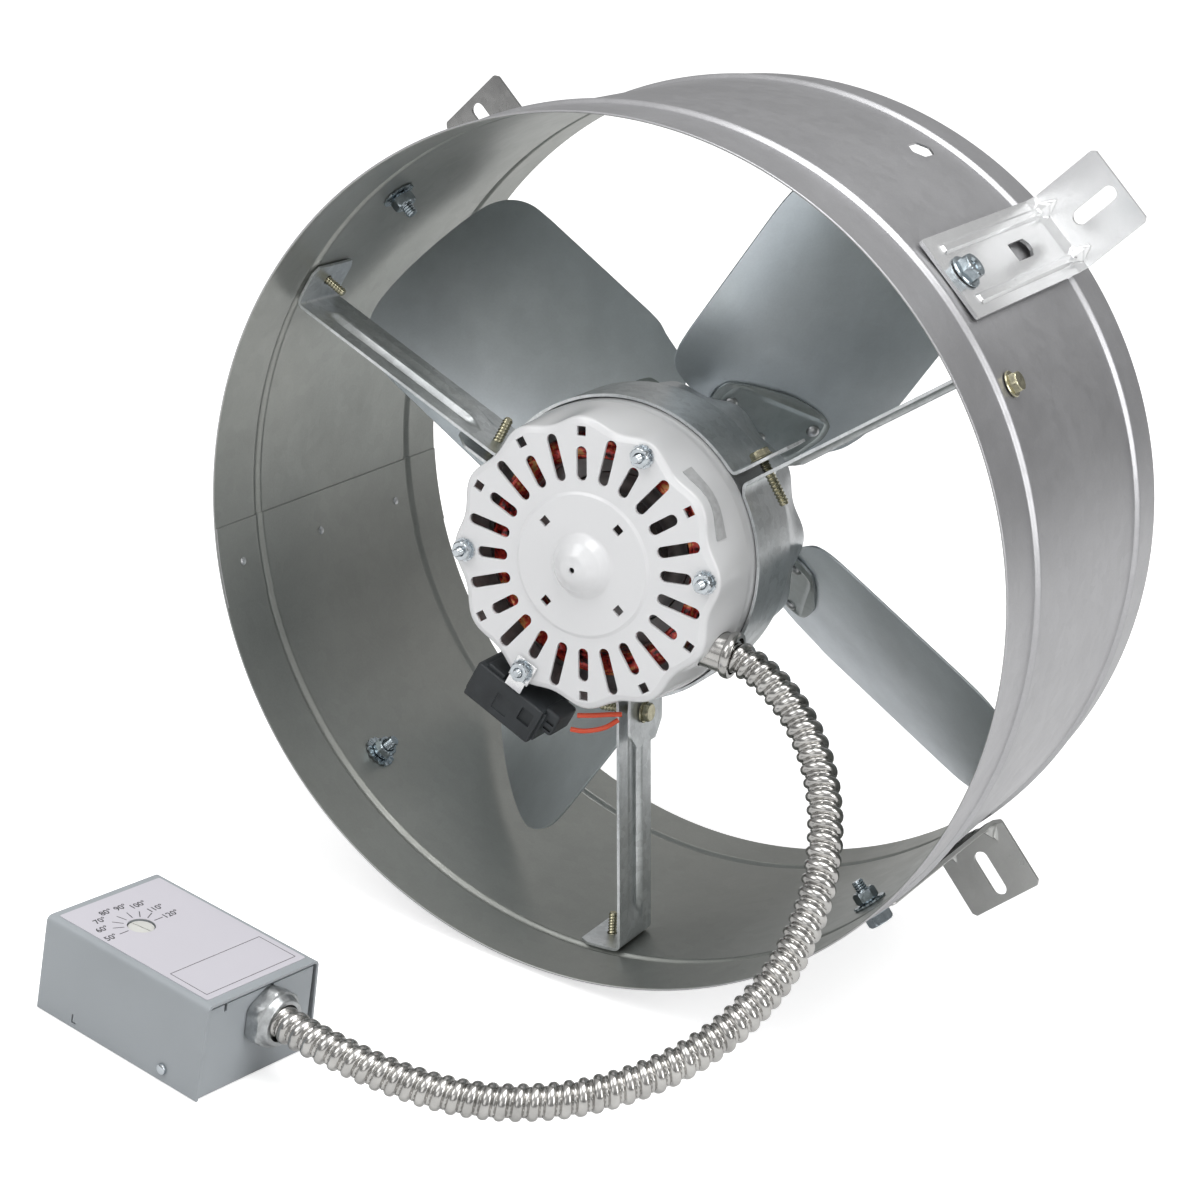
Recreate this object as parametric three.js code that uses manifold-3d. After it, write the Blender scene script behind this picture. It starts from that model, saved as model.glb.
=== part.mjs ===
// Gable-mount attic ventilator: a sheet-steel housing ring with four wall
// brackets, a shaded-pole motor hung on three clamp arms, a four-blade
// propeller on a stamped spider, and an adjustable thermostat in a steel box
// on a flexible metal conduit.
// Units are millimetres, +Z is up and the ventilator blows along +Y.
// Fan pieces are drawn about the Y axis with the motor-side rim of the ring at
// y = 0. Angles called "phi" are degrees from +X towards +Z. "Front" is the
// -Y face of the motor, "rear" the +Y face.
import * as THREE from 'three';
import { mergeVertices } from 'three/addons/utils/BufferGeometryUtils.js';
import Module from 'manifold-3d';

const wasm = await Module();
wasm.setup();

// ---------------------------------------------------------- shared sizes
const RING_R = 200;          // outer radius of the rolled sheet
const BEAD_H = 2.5;          // how far a bead stands out
const RING_ROLL = 10;        // the ring rests rolled about its axis by this angle
const FLOOR_Z = -(RING_R + BEAD_H); // the ground under the ring, from its axis
const SHIFT = [0, -1.0, -FLOOR_Z];  // puts the middle of the underside on the origin

const BRACKET_PHI = [41, 131, -139, -54];
const BRACKET_BOLT_Y = 62;
const BRACKET_HOLE_R = 3.4;

const ARM_PHI = [150, 30, -90];
const ARM_Y = [35, 67];      // edges of the arm strip
const ARM_MID_Y = (ARM_Y[0] + ARM_Y[1]) / 2;
const ARM_FOOT_PHI = -3.5;   // foot screw, from the arm's own angle
const ARM_FOOT_HOLE_R = 2.6;

const SHELL_R = 69.3;        // motor shell radius
const SHELL_T = 1.4;
const CAP_REAR_Y = 36;
const BELL_Y = [67, 96];
const THROUGH_PHI = [60, 0, -120, 180]; // through bolts of the motor
const THROUGH_R = 61;
const THROUGH_HOLE_R = 2.4;
const STRAP_BOLT = 2;        // index of the through bolt that holds the capacitor strap
const SHAFT_R = 4;
const SHAFT_BORE_R = SHAFT_R + 0.3;

// centreline of the conduit from the motor cap to the thermostat box: x, y, z
const CONDUIT = [
  [55.7, 18.2, -24.3], [73.5, 19.5, -25.2], [90.0, 18.1, -29.8], [105.0, 14.4, -37.2],
  [118.2, 8.6, -46.8], [129.4, 0.9, -58.0], [138.3, -8.4, -70.2], [144.9, -19.0, -82.9],
  [149.2, -30.6, -95.8], [150.9, -43.1, -108.4], [150.3, -56.0, -120.4], [147.2, -69.3, -131.6],
  [141.8, -82.5, -141.8], [134.2, -95.4, -150.9], [124.6, -107.7, -158.8],
  [113.1, -119.2, -165.5], [100.1, -129.7, -171.0], [85.6, -138.8, -175.0],
  [70.0, -146.4, -177.8], [53.5, -152.2, -179.1], [36.3, -156.2, -179.0], [18.8, -159.8, -177.4],
  [1.2, -161.6, -175.4], [-10, -161.7, -174.5], [-19.0, -160.7, -174.1], [-27.4, -159.4, -174.1],
  [-35.8, -158.1, -174.1],
];

// ------------------------------------------------------------- materials
const GALVANISED = { color: 0xb3b8b8, roughness: 0.42, metalness: 0.85 };
const DARK_GALVANISED = { color: 0x8e9596, roughness: 0.45, metalness: 0.85 };
const BLADE_METAL = { color: 0x98a3a8, roughness: 0.35, metalness: 0.9 };
const ZINC = { color: 0xc4cacd, roughness: 0.3, metalness: 0.95 };
const YELLOW_ZINC = { color: 0xb09a5c, roughness: 0.35, metalness: 0.9 };
const STEEL = { color: 0x8a8d8e, roughness: 0.4, metalness: 0.9 };
const HUB_METAL = { color: 0x9fa3a5, roughness: 0.4, metalness: 0.9 };
const ROTOR_METAL = { color: 0x7d8182, roughness: 0.45, metalness: 0.85 };
const BEARING_METAL = { color: 0x9a7a45, roughness: 0.45, metalness: 0.8 };
const CONDUIT_METAL = { color: 0xaaa9a6, roughness: 0.3, metalness: 0.95 };
const WINDING_RED = { color: 0x8c2f22, roughness: 0.4, metalness: 0.2 };
const WIRE_RED = { color: 0xd24a2c, roughness: 0.45, metalness: 0 };
const WHITE = { color: 0xe9e8ec, roughness: 0.35, metalness: 0 };
const GREY_PAINT = { color: 0xa0a8ac, roughness: 0.5, metalness: 0.1 };
const BLACK = { color: 0x24282a, roughness: 0.6, metalness: 0 };
const LABEL_GREY = { color: 0xd0cdd4, roughness: 0.6, metalness: 0 };
const SWITCH_BROWN = { color: 0x6f6a58, roughness: 0.6, metalness: 0 };
const DIAL_WHITE = { color: 0xd9d8d2, roughness: 0.5, metalness: 0 };

// -------------------------------------------------------------- outlines
const rad = (degrees) => degrees * Math.PI / 180;
const times = (count, make) => Array.from({ length: count }, (_, i) => make(i));
const toVectors = (points) => points.map(([x, y]) => new THREE.Vector2(x, y));
const polar = (radius, degrees) => [radius * Math.cos(rad(degrees)), radius * Math.sin(rad(degrees))];

const circle = (radius, count, center = [0, 0], phase = 0) => times(count, (i) => {
  const [x, y] = polar(radius, 360 * i / count + phase);
  return [center[0] + x, center[1] + y];
});

// a small round hole as an octagon with two sides square to each axis
const octagon = (radius, center) => circle(radius, 8, center, 22.5);

// a hexagon of the given width across flats, with its side middles, as 12 points
const hexagon = (acrossFlats) => times(12, (i) => {
  const radius = i % 2 ? acrossFlats / 2 : acrossFlats / 2 / Math.cos(rad(30));
  return polar(radius, 30 * i);
});

const rect = (x0, x1, y0, y1) => [[x0, y0], [x1, y0], [x1, y1], [x0, y1]];
const squareAt = (x, half) => rect(x - half, x + half, -half, half);

// a round-ended slot along the first coordinate
const stadium = (start, end, halfWidth, arcPoints = 6) =>
  [[end - halfWidth, -90], [start + halfWidth, 90]].flatMap(([x, from]) =>
    times(arcPoints, (i) => {
      const [dx, dy] = polar(halfWidth, from + 180 * i / (arcPoints - 1));
      return [x + dx, dy];
    }));

const swapped = (points) => points.map(([a, b]) => [b, a]);

function turned(points, degrees) {
  const [cos, sin] = polar(1, degrees);
  return points.map(([x, y]) => [x * cos - y * sin, x * sin + y * cos]);
}

const unit = ([x, y]) => {
  const length = Math.hypot(x, y);
  return [x / length, y / length];
};

// outline of a strip whose middle follows the path, with mitred bends
function stripOutline(path, thickness) {
  const left = [];
  const right = [];
  const directions = path.slice(1).map(([x, y], i) => unit([x - path[i][0], y - path[i][1]]));
  path.forEach(([x, y], i) => {
    const before = directions[Math.max(0, i - 1)];
    const after = directions[Math.min(directions.length - 1, i)];
    const along = unit([before[0] + after[0], before[1] + after[1]]);
    const miter = 1 / Math.max(0.5, along[0] * before[0] + along[1] * before[1]);
    const dx = -along[1] * thickness / 2 * miter;
    const dy = along[0] * thickness / 2 * miter;
    left.push([x + dx, y + dy]);
    right.push([x - dx, y - dy]);
  });
  return [...left, ...right.reverse()];
}

// ---------------------------------------------------------------- solids
// an indexed mesh, turned inside out if it encloses a negative volume
function solid(positions, indices) {
  const geometry = new THREE.BufferGeometry();
  const points = new THREE.BufferAttribute(new Float32Array(positions), 3);
  geometry.setAttribute('position', points);
  const [a, b, c] = times(3, () => new THREE.Vector3());
  let volume = 0;
  for (let i = 0; i < indices.length; i += 3) {
    a.fromBufferAttribute(points, indices[i]);
    b.fromBufferAttribute(points, indices[i + 1]);
    c.fromBufferAttribute(points, indices[i + 2]);
    volume += a.dot(b.cross(c));
  }
  if (volume < 0) {
    for (let i = 0; i < indices.length; i += 3) {
      [indices[i + 1], indices[i + 2]] = [indices[i + 2], indices[i + 1]];
    }
  }
  geometry.setIndex(indices);
  return geometry;
}

// a solid whose triangles are first wound to agree with their neighbours
function windingSolid(positions, indices) {
  const triangles = times(indices.length / 3, (i) => indices.slice(3 * i, 3 * i + 3));
  const sides = ([a, b, c]) => [[a, b], [b, c], [c, a]];
  const edgeKey = (a, b) => (a < b ? a + '_' + b : b + '_' + a);
  const edges = new Map();
  triangles.forEach((triangle, i) => {
    for (const side of sides(triangle)) {
      const key = edgeKey(...side);
      if (!edges.has(key)) edges.set(key, []);
      edges.get(key).push(i);
    }
  });
  const seen = new Set([0]);
  const pending = [0];
  while (pending.length) {
    for (const [a, b] of sides(triangles[pending.pop()])) {
      for (const j of edges.get(edgeKey(a, b))) {
        if (seen.has(j)) continue;
        // a neighbour that runs along the shared edge the same way is flipped
        if (sides(triangles[j]).some(([p, q]) => p === a && q === b)) {
          const [first, second, third] = triangles[j];
          triangles[j] = [first, third, second];
        }
        seen.add(j);
        pending.push(j);
      }
    }
  }
  return solid(positions, triangles.flat());
}

// a closed profile of [radius, y] turned about the Y axis in n steps;
// shape(radius, y, angle in radians) may move a point
function revolve(profile, n, { from = 0, to = 360, shape = null } = {}) {
  const full = to - from === 360;
  const rowCount = full ? n : n + 1;
  const positions = [];
  const indices = [];
  const rows = [];
  for (let i = 0; i < rowCount; i++) {
    const angle = rad(from + (to - from) * i / n);
    rows.push(profile.map(([r, y], j) => {
      const onAxis = r < 1e-9;
      if (onAxis && i > 0 && full) return rows[0][j];
      const [radius, height] = shape && !onAxis ? shape(r, y, angle) : [r, y];
      positions.push(radius * Math.cos(angle), height, radius * Math.sin(angle));
      return positions.length / 3 - 1;
    }));
  }
  for (let i = 0; i < n; i++) {
    const here = rows[i];
    const next = rows[(i + 1) % rowCount];
    for (let j = 0; j < profile.length; j++) {
      const k = (j + 1) % profile.length;
      if (here[j] !== next[j]) indices.push(here[j], next[j], next[k]);
      if (here[k] !== next[k]) indices.push(here[j], next[k], here[k]);
    }
  }
  if (full) return solid(positions, indices);
  for (const [a, b, c] of THREE.ShapeUtils.triangulateShape(toVectors(profile), [])) {
    indices.push(rows[0][a], rows[0][b], rows[0][c]);
    indices.push(rows[n][a], rows[n][c], rows[n][b]);
  }
  return windingSolid(positions, indices);
}

// where a prism's outline (first two values) and sweep (third value) lie
const alongX = (y, z, x) => [x, y, z];
const alongY = (x, z, y) => [x, y, z];
const alongZ = (x, y, z) => [x, y, z];

function prism(outline, from, to, direction = alongZ, holes = []) {
  const isClockwise = THREE.ShapeUtils.isClockWise;
  let contour = toVectors(outline);
  if (isClockwise(contour)) contour = contour.reverse();
  const inner = holes.map(toVectors).map((hole) => (isClockwise(hole) ? hole : hole.reverse()));
  const caps = THREE.ShapeUtils.triangulateShape(contour, inner);
  const points = [...contour, ...inner.flat()];
  const n = points.length;
  const positions = [from, to].flatMap((end) => points.flatMap((p) => direction(p.x, p.y, end)));
  const indices = caps.flatMap(([a, b, c]) => [a, c, b, a + n, b + n, c + n]);
  let start = 0;
  for (const loop of [contour, ...inner]) {
    for (let i = 0; i < loop.length; i++) {
      const a = start + i;
      const b = start + (i + 1) % loop.length;
      indices.push(a, b, b + n, a, b + n, a + n);
    }
    start += loop.length;
  }
  return solid(positions, indices);
}

// rows of [outline, z], all of equal length, joined one after the other;
// open ends get a cap, joined = true closes the last row onto the first
function stack(rows, joined = false) {
  const n = rows.length;
  const m = rows[0][0].length;
  const positions = rows.flatMap(([outline, z]) => outline.flatMap(([x, y]) => [x, y, z]));
  const indices = [];
  for (let i = 0; i < (joined ? n : n - 1); i++) {
    const here = i * m;
    const next = ((i + 1) % n) * m;
    for (let j = 0; j < m; j++) {
      const k = (j + 1) % m;
      indices.push(here + j, next + j, next + k, here + j, next + k, here + k);
    }
  }
  if (!joined) {
    for (const start of [0, (n - 1) * m]) {
      for (let j = 1; j < m - 1; j++) indices.push(start, start + j, start + j + 1);
    }
  }
  return windingSolid(positions, indices);
}

// a closed sheet between two faces, each a grid of points of the same size
function sheet(lower, upper) {
  const rowCount = lower.length;
  const m = lower[0].length;
  const other = rowCount * m;
  const indices = [];
  for (let i = 0; i < rowCount - 1; i++) {
    for (let j = 0; j < m - 1; j++) {
      const a = i * m + j;
      const [b, c, d] = [a + 1, a + m, a + m + 1];
      indices.push(a, b, d, a, d, c);
      indices.push(a + other, d + other, b + other, a + other, c + other, d + other);
    }
  }
  const edge = (a, b) => indices.push(a, b, b + other, a, b + other, a + other);
  const last = (rowCount - 1) * m;
  for (let j = 0; j < m - 1; j++) {
    edge(j, j + 1);
    edge(last + j, last + j + 1);
  }
  for (let i = 0; i < rowCount - 1; i++) {
    edge(i * m, (i + 1) * m);
    edge(i * m + m - 1, (i + 1) * m + m - 1);
  }
  return windingSolid([lower, upper].flat(3), indices);
}

// a rod, or a tube when it has a bore, swept along a curve
function sweep(curve, steps, sides, radius, boreRadius = 0) {
  const shape = new THREE.Shape(toVectors(circle(radius, sides)));
  if (boreRadius) shape.holes.push(new THREE.Path(toVectors(circle(boreRadius, sides))));
  const options = { steps, bevelEnabled: false, extrudePath: curve };
  const geometry = new THREE.ExtrudeGeometry(shape, options);
  geometry.deleteAttribute('uv');
  geometry.deleteAttribute('normal');
  return mergeVertices(geometry, 1e-4);
}

const hexBolt = (acrossFlats, headHeight, radius, length) => stack([
  [hexagon(acrossFlats), headHeight], [hexagon(acrossFlats), 0],
  [circle(radius, 12), 0], [circle(radius, 12), -length],
]);
const hexNut = (acrossFlats, height, boreRadius) => stack([
  [hexagon(acrossFlats), 0], [hexagon(acrossFlats), height],
  [circle(boreRadius, 12), height], [circle(boreRadius, 12), 0],
], true);
const flangeNut = (acrossFlats, flangeRadius, flangeHeight, height, boreRadius) => stack([
  [circle(flangeRadius, 12), 0], [circle(flangeRadius, 12), flangeHeight],
  [hexagon(acrossFlats), flangeHeight], [hexagon(acrossFlats), height],
  [circle(boreRadius, 12), height], [circle(boreRadius, 12), 0],
], true);

function toManifold(geometry) {
  const merged = mergeVertices(geometry, 1e-5);
  return new wasm.Manifold(new wasm.Mesh({
    numProp: 3,
    vertProperties: new Float32Array(merged.attributes.position.array),
    triVerts: new Uint32Array(merged.index.array),
  }));
}

function combine(base, add = [], cut = []) {
  let result = toManifold(base);
  for (const piece of add) result = result.add(toManifold(piece));
  for (const piece of cut) result = result.subtract(toManifold(piece));
  const mesh = result.getMesh();
  const geometry = new THREE.BufferGeometry();
  const points = new THREE.BufferAttribute(new Float32Array(mesh.vertProperties), 3);
  geometry.setAttribute('position', points);
  geometry.setIndex(Array.from(mesh.triVerts));
  return geometry;
}

// --------------------------------------------------------------- placing
const translate = (x, y, z) => new THREE.Matrix4().makeTranslation(x, y, z);
const turnPhi = (phi) => new THREE.Matrix4().makeRotationY(-rad(phi));
const frame = (origin, xAxis, yAxis, zAxis) => new THREE.Matrix4().makeBasis(
  new THREE.Vector3(...xAxis), new THREE.Vector3(...yAxis), new THREE.Vector3(...zAxis),
).setPosition(...origin);

// frame at angle phi: x tangential towards falling phi, y axial, z outwards
function radial(phi, y = 0) {
  const [cos, sin] = polar(1, phi);
  return frame([0, y, 0], [sin, 0, -cos], [0, 1, 0], [cos, 0, sin]);
}

// moves a geometry by each matrix in turn
function placed(geometry, ...places) {
  for (const place of places) geometry.applyMatrix4(place);
  return geometry;
}

const FAN = turnPhi(RING_ROLL);
const MOVE = translate(...SHIFT);

// axes at the motor end of the conduit, z along its first stretch
const CONDUIT_START = (() => {
  const start = new THREE.Vector3(...CONDUIT[0]);
  const zAxis = new THREE.Vector3(...CONDUIT[1]).sub(start).normalize();
  const xAxis = new THREE.Vector3(0, 0, 1).cross(zAxis).normalize();
  const yAxis = zAxis.clone().cross(xAxis);
  return new THREE.Matrix4().makeBasis(xAxis, yAxis, zAxis).setPosition(start);
})();

const ventilator = new THREE.Group();
ventilator.name = 'attic_ventilator';

function put(name, geometry, material, ...places) {
  const flat = placed(geometry.clone(), ...places, MOVE).toNonIndexed();
  flat.computeVertexNormals();
  const mesh = new THREE.Mesh(flat, new THREE.MeshStandardMaterial(material));
  mesh.name = name;
  ventilator.add(mesh);
}

// ---------------------------------------------------------- housing ring
const RING_T = 1.0;          // sheet thickness
const RING_L = 198;          // length along the axis
const BEAD_Y = [35, 170];
const BEAD_HALF = [4, 1.5];  // half width of a bead at its foot and at its crest
const LAP_PHI = [-178.125, -166.875];
const SPARE_SLOT_Y = 144;
const SPARE_SLOT_PHI = 19.3; // from the bracket's angle
const SPARE_SLOT = [[-10, 0], [-5.5, -5], [5.5, -5], [10, 0], [5.5, 5], [-5.5, 5]]; // axial, tangential

function rolledSheet(outerRadius, innerRadius) {
  const [foot, crest] = BEAD_HALF;
  const line = (r) => [
    [r, 0],
    ...BEAD_Y.flatMap((y) => [
      [r, y - foot], [r + BEAD_H, y - crest], [r + BEAD_H, y + crest], [r, y + foot],
    ]),
    [r, RING_L],
  ];
  return [...line(outerRadius), ...line(innerRadius).reverse()];
}

function addHousingRing() {
  const innerRadius = RING_R - RING_T;
  const ring = revolve(rolledSheet(RING_R, innerRadius), 64);
  // the sheet laps over itself on the inside, near the -X side
  const lap = revolve(rolledSheet(innerRadius + 0.5, innerRadius - 1), 2,
    { from: LAP_PHI[0], to: LAP_PHI[1] });
  const hole = (outline, phi, y) => placed(prism(outline, 190, 210), radial(phi, y));
  const cuts = [];
  for (const phi of BRACKET_PHI) {
    // only the two upper brackets have a spare slot beside them
    if (phi > 0) cuts.push(hole(swapped(SPARE_SLOT), phi + SPARE_SLOT_PHI, SPARE_SLOT_Y));
    cuts.push(hole(octagon(BRACKET_HOLE_R), phi, BRACKET_BOLT_Y));
  }
  for (const phi of ARM_PHI) {
    cuts.push(hole(octagon(ARM_FOOT_HOLE_R), phi + ARM_FOOT_PHI, ARM_MID_Y));
  }
  put('housing_ring', combine(ring, [lap], cuts), GALVANISED, FAN);
}

// --------------------------------------------------------- wall brackets
const BRACKET_W = 41;
const BRACKET_T = 1.8;
const LEG_END_Y = 46;
const LEG_R = 200.4;         // underside of the leg at its end
const FOOT_Y = 176;          // motor-side face of the foot
const FOOT_R = 242.5;        // tip radius of the foot
const FOOT_SLOT = { start: 214.5, end: 239, halfWidth: 3.6 };
const OBLONG = { start: 123, end: 139, halfWidth: 4.5 };
const BRACKET_HEAD_R = 202.9; // radius under the bolt head
const BRACKET_NUT_R = 198.4;  // radius of the nut's seat
// y, radius: the leg lies on the ring and over its bead, the foot stands out
const BRACKET_PROFILE = [
  [LEG_END_Y, LEG_R], [168, 203.0], [172.5, 203.4], [176.0, 204.9], [177.5, 207.4],
  [FOOT_Y + BRACKET_T, 210.5], [FOOT_Y + BRACKET_T, FOOT_R], [FOOT_Y, FOOT_R], [FOOT_Y, 210.8],
  [175.2, 208.2], [173.0, 206.0], [170, 205.0], [167, 204.8], [LEG_END_Y, LEG_R + BRACKET_T],
];
const RIB_X = [-13, 13];
const RIB_HALF_W = 2.4;
// y, radius
const RIB_PROFILE = [
  [57, 201.6], [60, 203.8], [165, 206.1], [169.5, 207.6], [172.6, 210.6], [174.3, 214.2],
  [174.4, 222], [176.4, 226], [177.0, 222], [176.6, 209], [172, 204.4], [165, 203.6],
];

function bracketShape() {
  const half = BRACKET_W / 2;
  const body = prism(BRACKET_PROFILE, -half, half, alongX);
  const ribs = RIB_X.map((x) => prism(RIB_PROFILE, x - RIB_HALF_W, x + RIB_HALF_W, alongX)
  );
  const acrossFoot = (outline) => prism(outline, 170, 184, alongY);
  const acrossLeg = (outline) => prism(outline, 195, 212);
  const slotOf = ({ start, end, halfWidth }) => swapped(stadium(start, end, halfWidth));
  const cuts = [
    acrossFoot(slotOf(FOOT_SLOT)),
    acrossLeg(slotOf(OBLONG)),
    acrossLeg(octagon(BRACKET_HOLE_R, [0, BRACKET_BOLT_Y])),
  ];
  // clipped corners of the foot and of the leg end
  for (const side of [-1, 1]) {
    const beyond = side * (half + 1);
    cuts.push(acrossFoot([
      [side * (half - 3.5), FOOT_R + 1], [beyond, FOOT_R + 1], [beyond, FOOT_R - 3.5],
    ]));
    cuts.push(acrossLeg([
      [side * (half - 3), LEG_END_Y - 1], [beyond, LEG_END_Y - 1], [beyond, LEG_END_Y + 3],
    ]));
  }
  return combine(body, ribs, cuts);
}

function addWallBrackets() {
  const bracket = bracketShape();
  const bolt = hexBolt(11, 5.4, 3, 16.3);
  const nut = flangeNut(10, 8, 1.6, 7.2, 3.35);
  const nutSeat = new THREE.Matrix4().makeRotationX(Math.PI).setPosition(0, 0, BRACKET_NUT_R);
  BRACKET_PHI.forEach((phi, i) => {
    const atBolt = radial(phi, BRACKET_BOLT_Y);
    put('wall_bracket_' + (i + 1), bracket, ZINC, radial(phi), FAN);
    put('bracket_bolt_' + (i + 1), bolt, ZINC, translate(0, 0, BRACKET_HEAD_R), atBolt, FAN);
    put('bracket_nut_' + (i + 1), nut, ZINC, nutSeat, atBolt, FAN);
  });
}

// ------------------------------------------------------------ motor arms
// One strip makes a foot on the ring, a radial strut, a band round a third of
// the motor and an ear that lies beside the next arm's strut.
const ARM_NAMES = ['left', 'right', 'bottom'];
const ARM_T = 1.4;
const ARM_PITCH = 120;
const ARM_FOOT_R = 197.6;
const BAND_R = 70.7;
const BAND_PHI = [-3.6, -112.5];
const CLAMP_AT = [80.5, 47.5]; // x, y of the clamp screw on the strut
const CLAMP_HOLE_R = 2.7;
const CLAMP_HEAD_Z = 7.1;
const EAR_END_X = 97;
const ARM_RIDGE = [[93, -0.4], [97, -2.4], [183, -2.4], [187, -0.4]]; // x, z

function armShape() {
  // x, z along the middle of the strip
  const path = [
    ...[-6.2, -4.6, -3, -1.4].map((phi) => polar(ARM_FOOT_R, phi)),
    [196.9, -2.1], [195.4, -0.6], [193, 0], [76.5, 0], [73.2, -1.0], [71.4, -2.6],
    ...times(13, (i) => polar(BAND_R, BAND_PHI[0] + (BAND_PHI[1] - BAND_PHI[0]) * i / 12)),
    ...turned([[71.0, 6.9], [73.2, 6.2], [76, 6], [EAR_END_X, 6]], -ARM_PITCH),
  ];
  const arm = prism(stripOutline(path, ARM_T), ...ARM_Y, alongY);
  const ridge = prism(ARM_RIDGE, 47, 55, alongY);
  const toNextArm = turnPhi(-ARM_PITCH);
  const clampHole = circle(CLAMP_HOLE_R, 8, CLAMP_AT);
  const throughEar = (outline) => placed(prism(outline, 4, 12), toNextArm);
  const cornerX = EAR_END_X + 1;
  const clips = [[ARM_Y[1], 1], [ARM_Y[0], -1]].map(([y, side]) => throughEar(
    [[cornerX, y + side], [cornerX - 8, y + side], [cornerX, y - side * 8]],
  ));
  return combine(arm, [ridge], [
    placed(prism(circle(ARM_FOOT_HOLE_R, 8), 190, 203), radial(ARM_FOOT_PHI, ARM_MID_Y)),
    prism(clampHole, -4, 3),
    throughEar(clampHole),
    ...clips,
  ]);
}

function addMotorArms() {
  const arm = armShape();
  ARM_PHI.forEach((phi, i) => {
    const turn = turnPhi(phi);
    // the bottom arm's foot screw has a lower head
    const footScrew = hexBolt(8, ARM_NAMES[i] === 'bottom' ? 2.6 : 4.2, 2.2, 14.2);
    put('motor_arm_' + ARM_NAMES[i], arm, DARK_GALVANISED, turn, FAN);
    put('arm_foot_screw_' + (i + 1), footScrew, YELLOW_ZINC,
      translate(0, 0, 200.4), radial(phi + ARM_FOOT_PHI, ARM_MID_Y), FAN);
    put('arm_clamp_screw_' + (i + 1), hexBolt(8, 4, 2.3, 23), YELLOW_ZINC,
      translate(...CLAMP_AT, CLAMP_HEAD_Z), turn, FAN);
  });
}

// ----------------------------------------------------------------- motor
const LOBE_H = 1.9;
const LOBE_REACH = 26;       // axial distance over which the lobes fade out
const COIL_R = 53.3;         // pitch radius of the core slots
// radius, y: outside of the cap from the axis to its rim, then back inside
const CAP_PROFILE = [
  [0, -8], [6, -7], [11.5, -3], [14.6, 1.3], [32, 1.3], [33.5, 2.2], [62.2, 2.2], [65.2, 4.2],
  [66.8, 12], [SHELL_R, 28], [SHELL_R, CAP_REAR_Y], [SHELL_R - SHELL_T, CAP_REAR_Y],
  [SHELL_R - SHELL_T, 28], [65.4, 12.4], [63.8, 5.4], [61.6, 3.6], [32.6, 3.6], [31.2, 2.7],
  [13.6, 2.7], [10.4, -1.8], [5.3, -5.5], [0, -6.6],
];
// radius, y: outside of the bell from its neck to its rim, then back inside
const BELL_PROFILE = [
  [6.0, 102], [13, 102], [14.4, 97.2], [62.0, BELL_Y[1]], [65.2, 93], [67.4, 80], [SHELL_R, 72],
  [SHELL_R, BELL_Y[0]], [SHELL_R - SHELL_T, BELL_Y[0]], [SHELL_R - SHELL_T, 71.6], [66.0, 79.6],
  [63.8, 92.2], [61.0, 94.6], [13.2, 95.8], [12.2, 100.6], [6.0, 100.6],
];

// the shell swells into twelve lobes near each face
const lobes = (faceY) => (r, y, angle) => {
  const nearFace = Math.max(0, 1 - Math.abs(y - faceY) / LOBE_REACH);
  const nearRim = THREE.MathUtils.clamp((r - 56) / 6, 0, 1);
  return [r + nearFace * nearRim * LOBE_H * Math.cos(12 * angle), y];
};

const throughHole = (phi, radius) => turned(circle(radius, 8, [THROUGH_R, 0]), phi);

function addFrontCap() {
  const cap = revolve(CAP_PROFILE, 36, { shape: lobes(2) });
  const cuts = [];
  const pierce = (outline, phi, from = -12, to = 9) =>
    cuts.push(prism(turned(outline, phi), from, to, alongY));
  // long and short radial slots take turns
  for (let k = 0; k < 24; k++) pierce(stadium(38.6, k % 2 ? 60.2 : 54.2, 2.6, 3), 15 * k);
  // a ring of twelve holes: round at the through bolts, square elsewhere
  for (let phi = 0; phi < 360; phi += 30) {
    const atBolt = THROUGH_PHI.some((boltPhi) => (boltPhi - phi) % 360 === 0);
    if (atBolt) pierce(circle(THROUGH_HOLE_R, 8, [THROUGH_R, 0]), phi);
    else pierce(squareAt(THROUGH_R, 2.2), phi, -4, 8.5);
  }
  for (const phi of [45, 135, 225, 315]) pierce(squareAt(26, 2.0), phi, -4, 6);
  pierce(circle(1.4, 8), 0, -12, -4);
  // the conduit does not roll with the fan, so its port is turned back
  cuts.push(placed(prism(circle(9.4, 14), -4, 24), CONDUIT_START, FAN.clone().invert()));
  put('motor_front_cap', combine(cap, [], cuts), WHITE, FAN);
}

function addRearBell() {
  const bell = revolve(BELL_PROFILE, 36, { shape: lobes(BELL_Y[1]) });
  const outlines = [
    ...THROUGH_PHI.map((phi) => throughHole(phi, THROUGH_HOLE_R)),
    ...times(12, (k) => turned(stadium(30, 52, 3, 3), 30 * k + 15)),
  ];
  const cuts = outlines.map((outline) => prism(outline, 88, 103, alongY));
  put('motor_rear_bell', combine(bell, [], cuts), DARK_GALVANISED, FAN);
}

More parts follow.
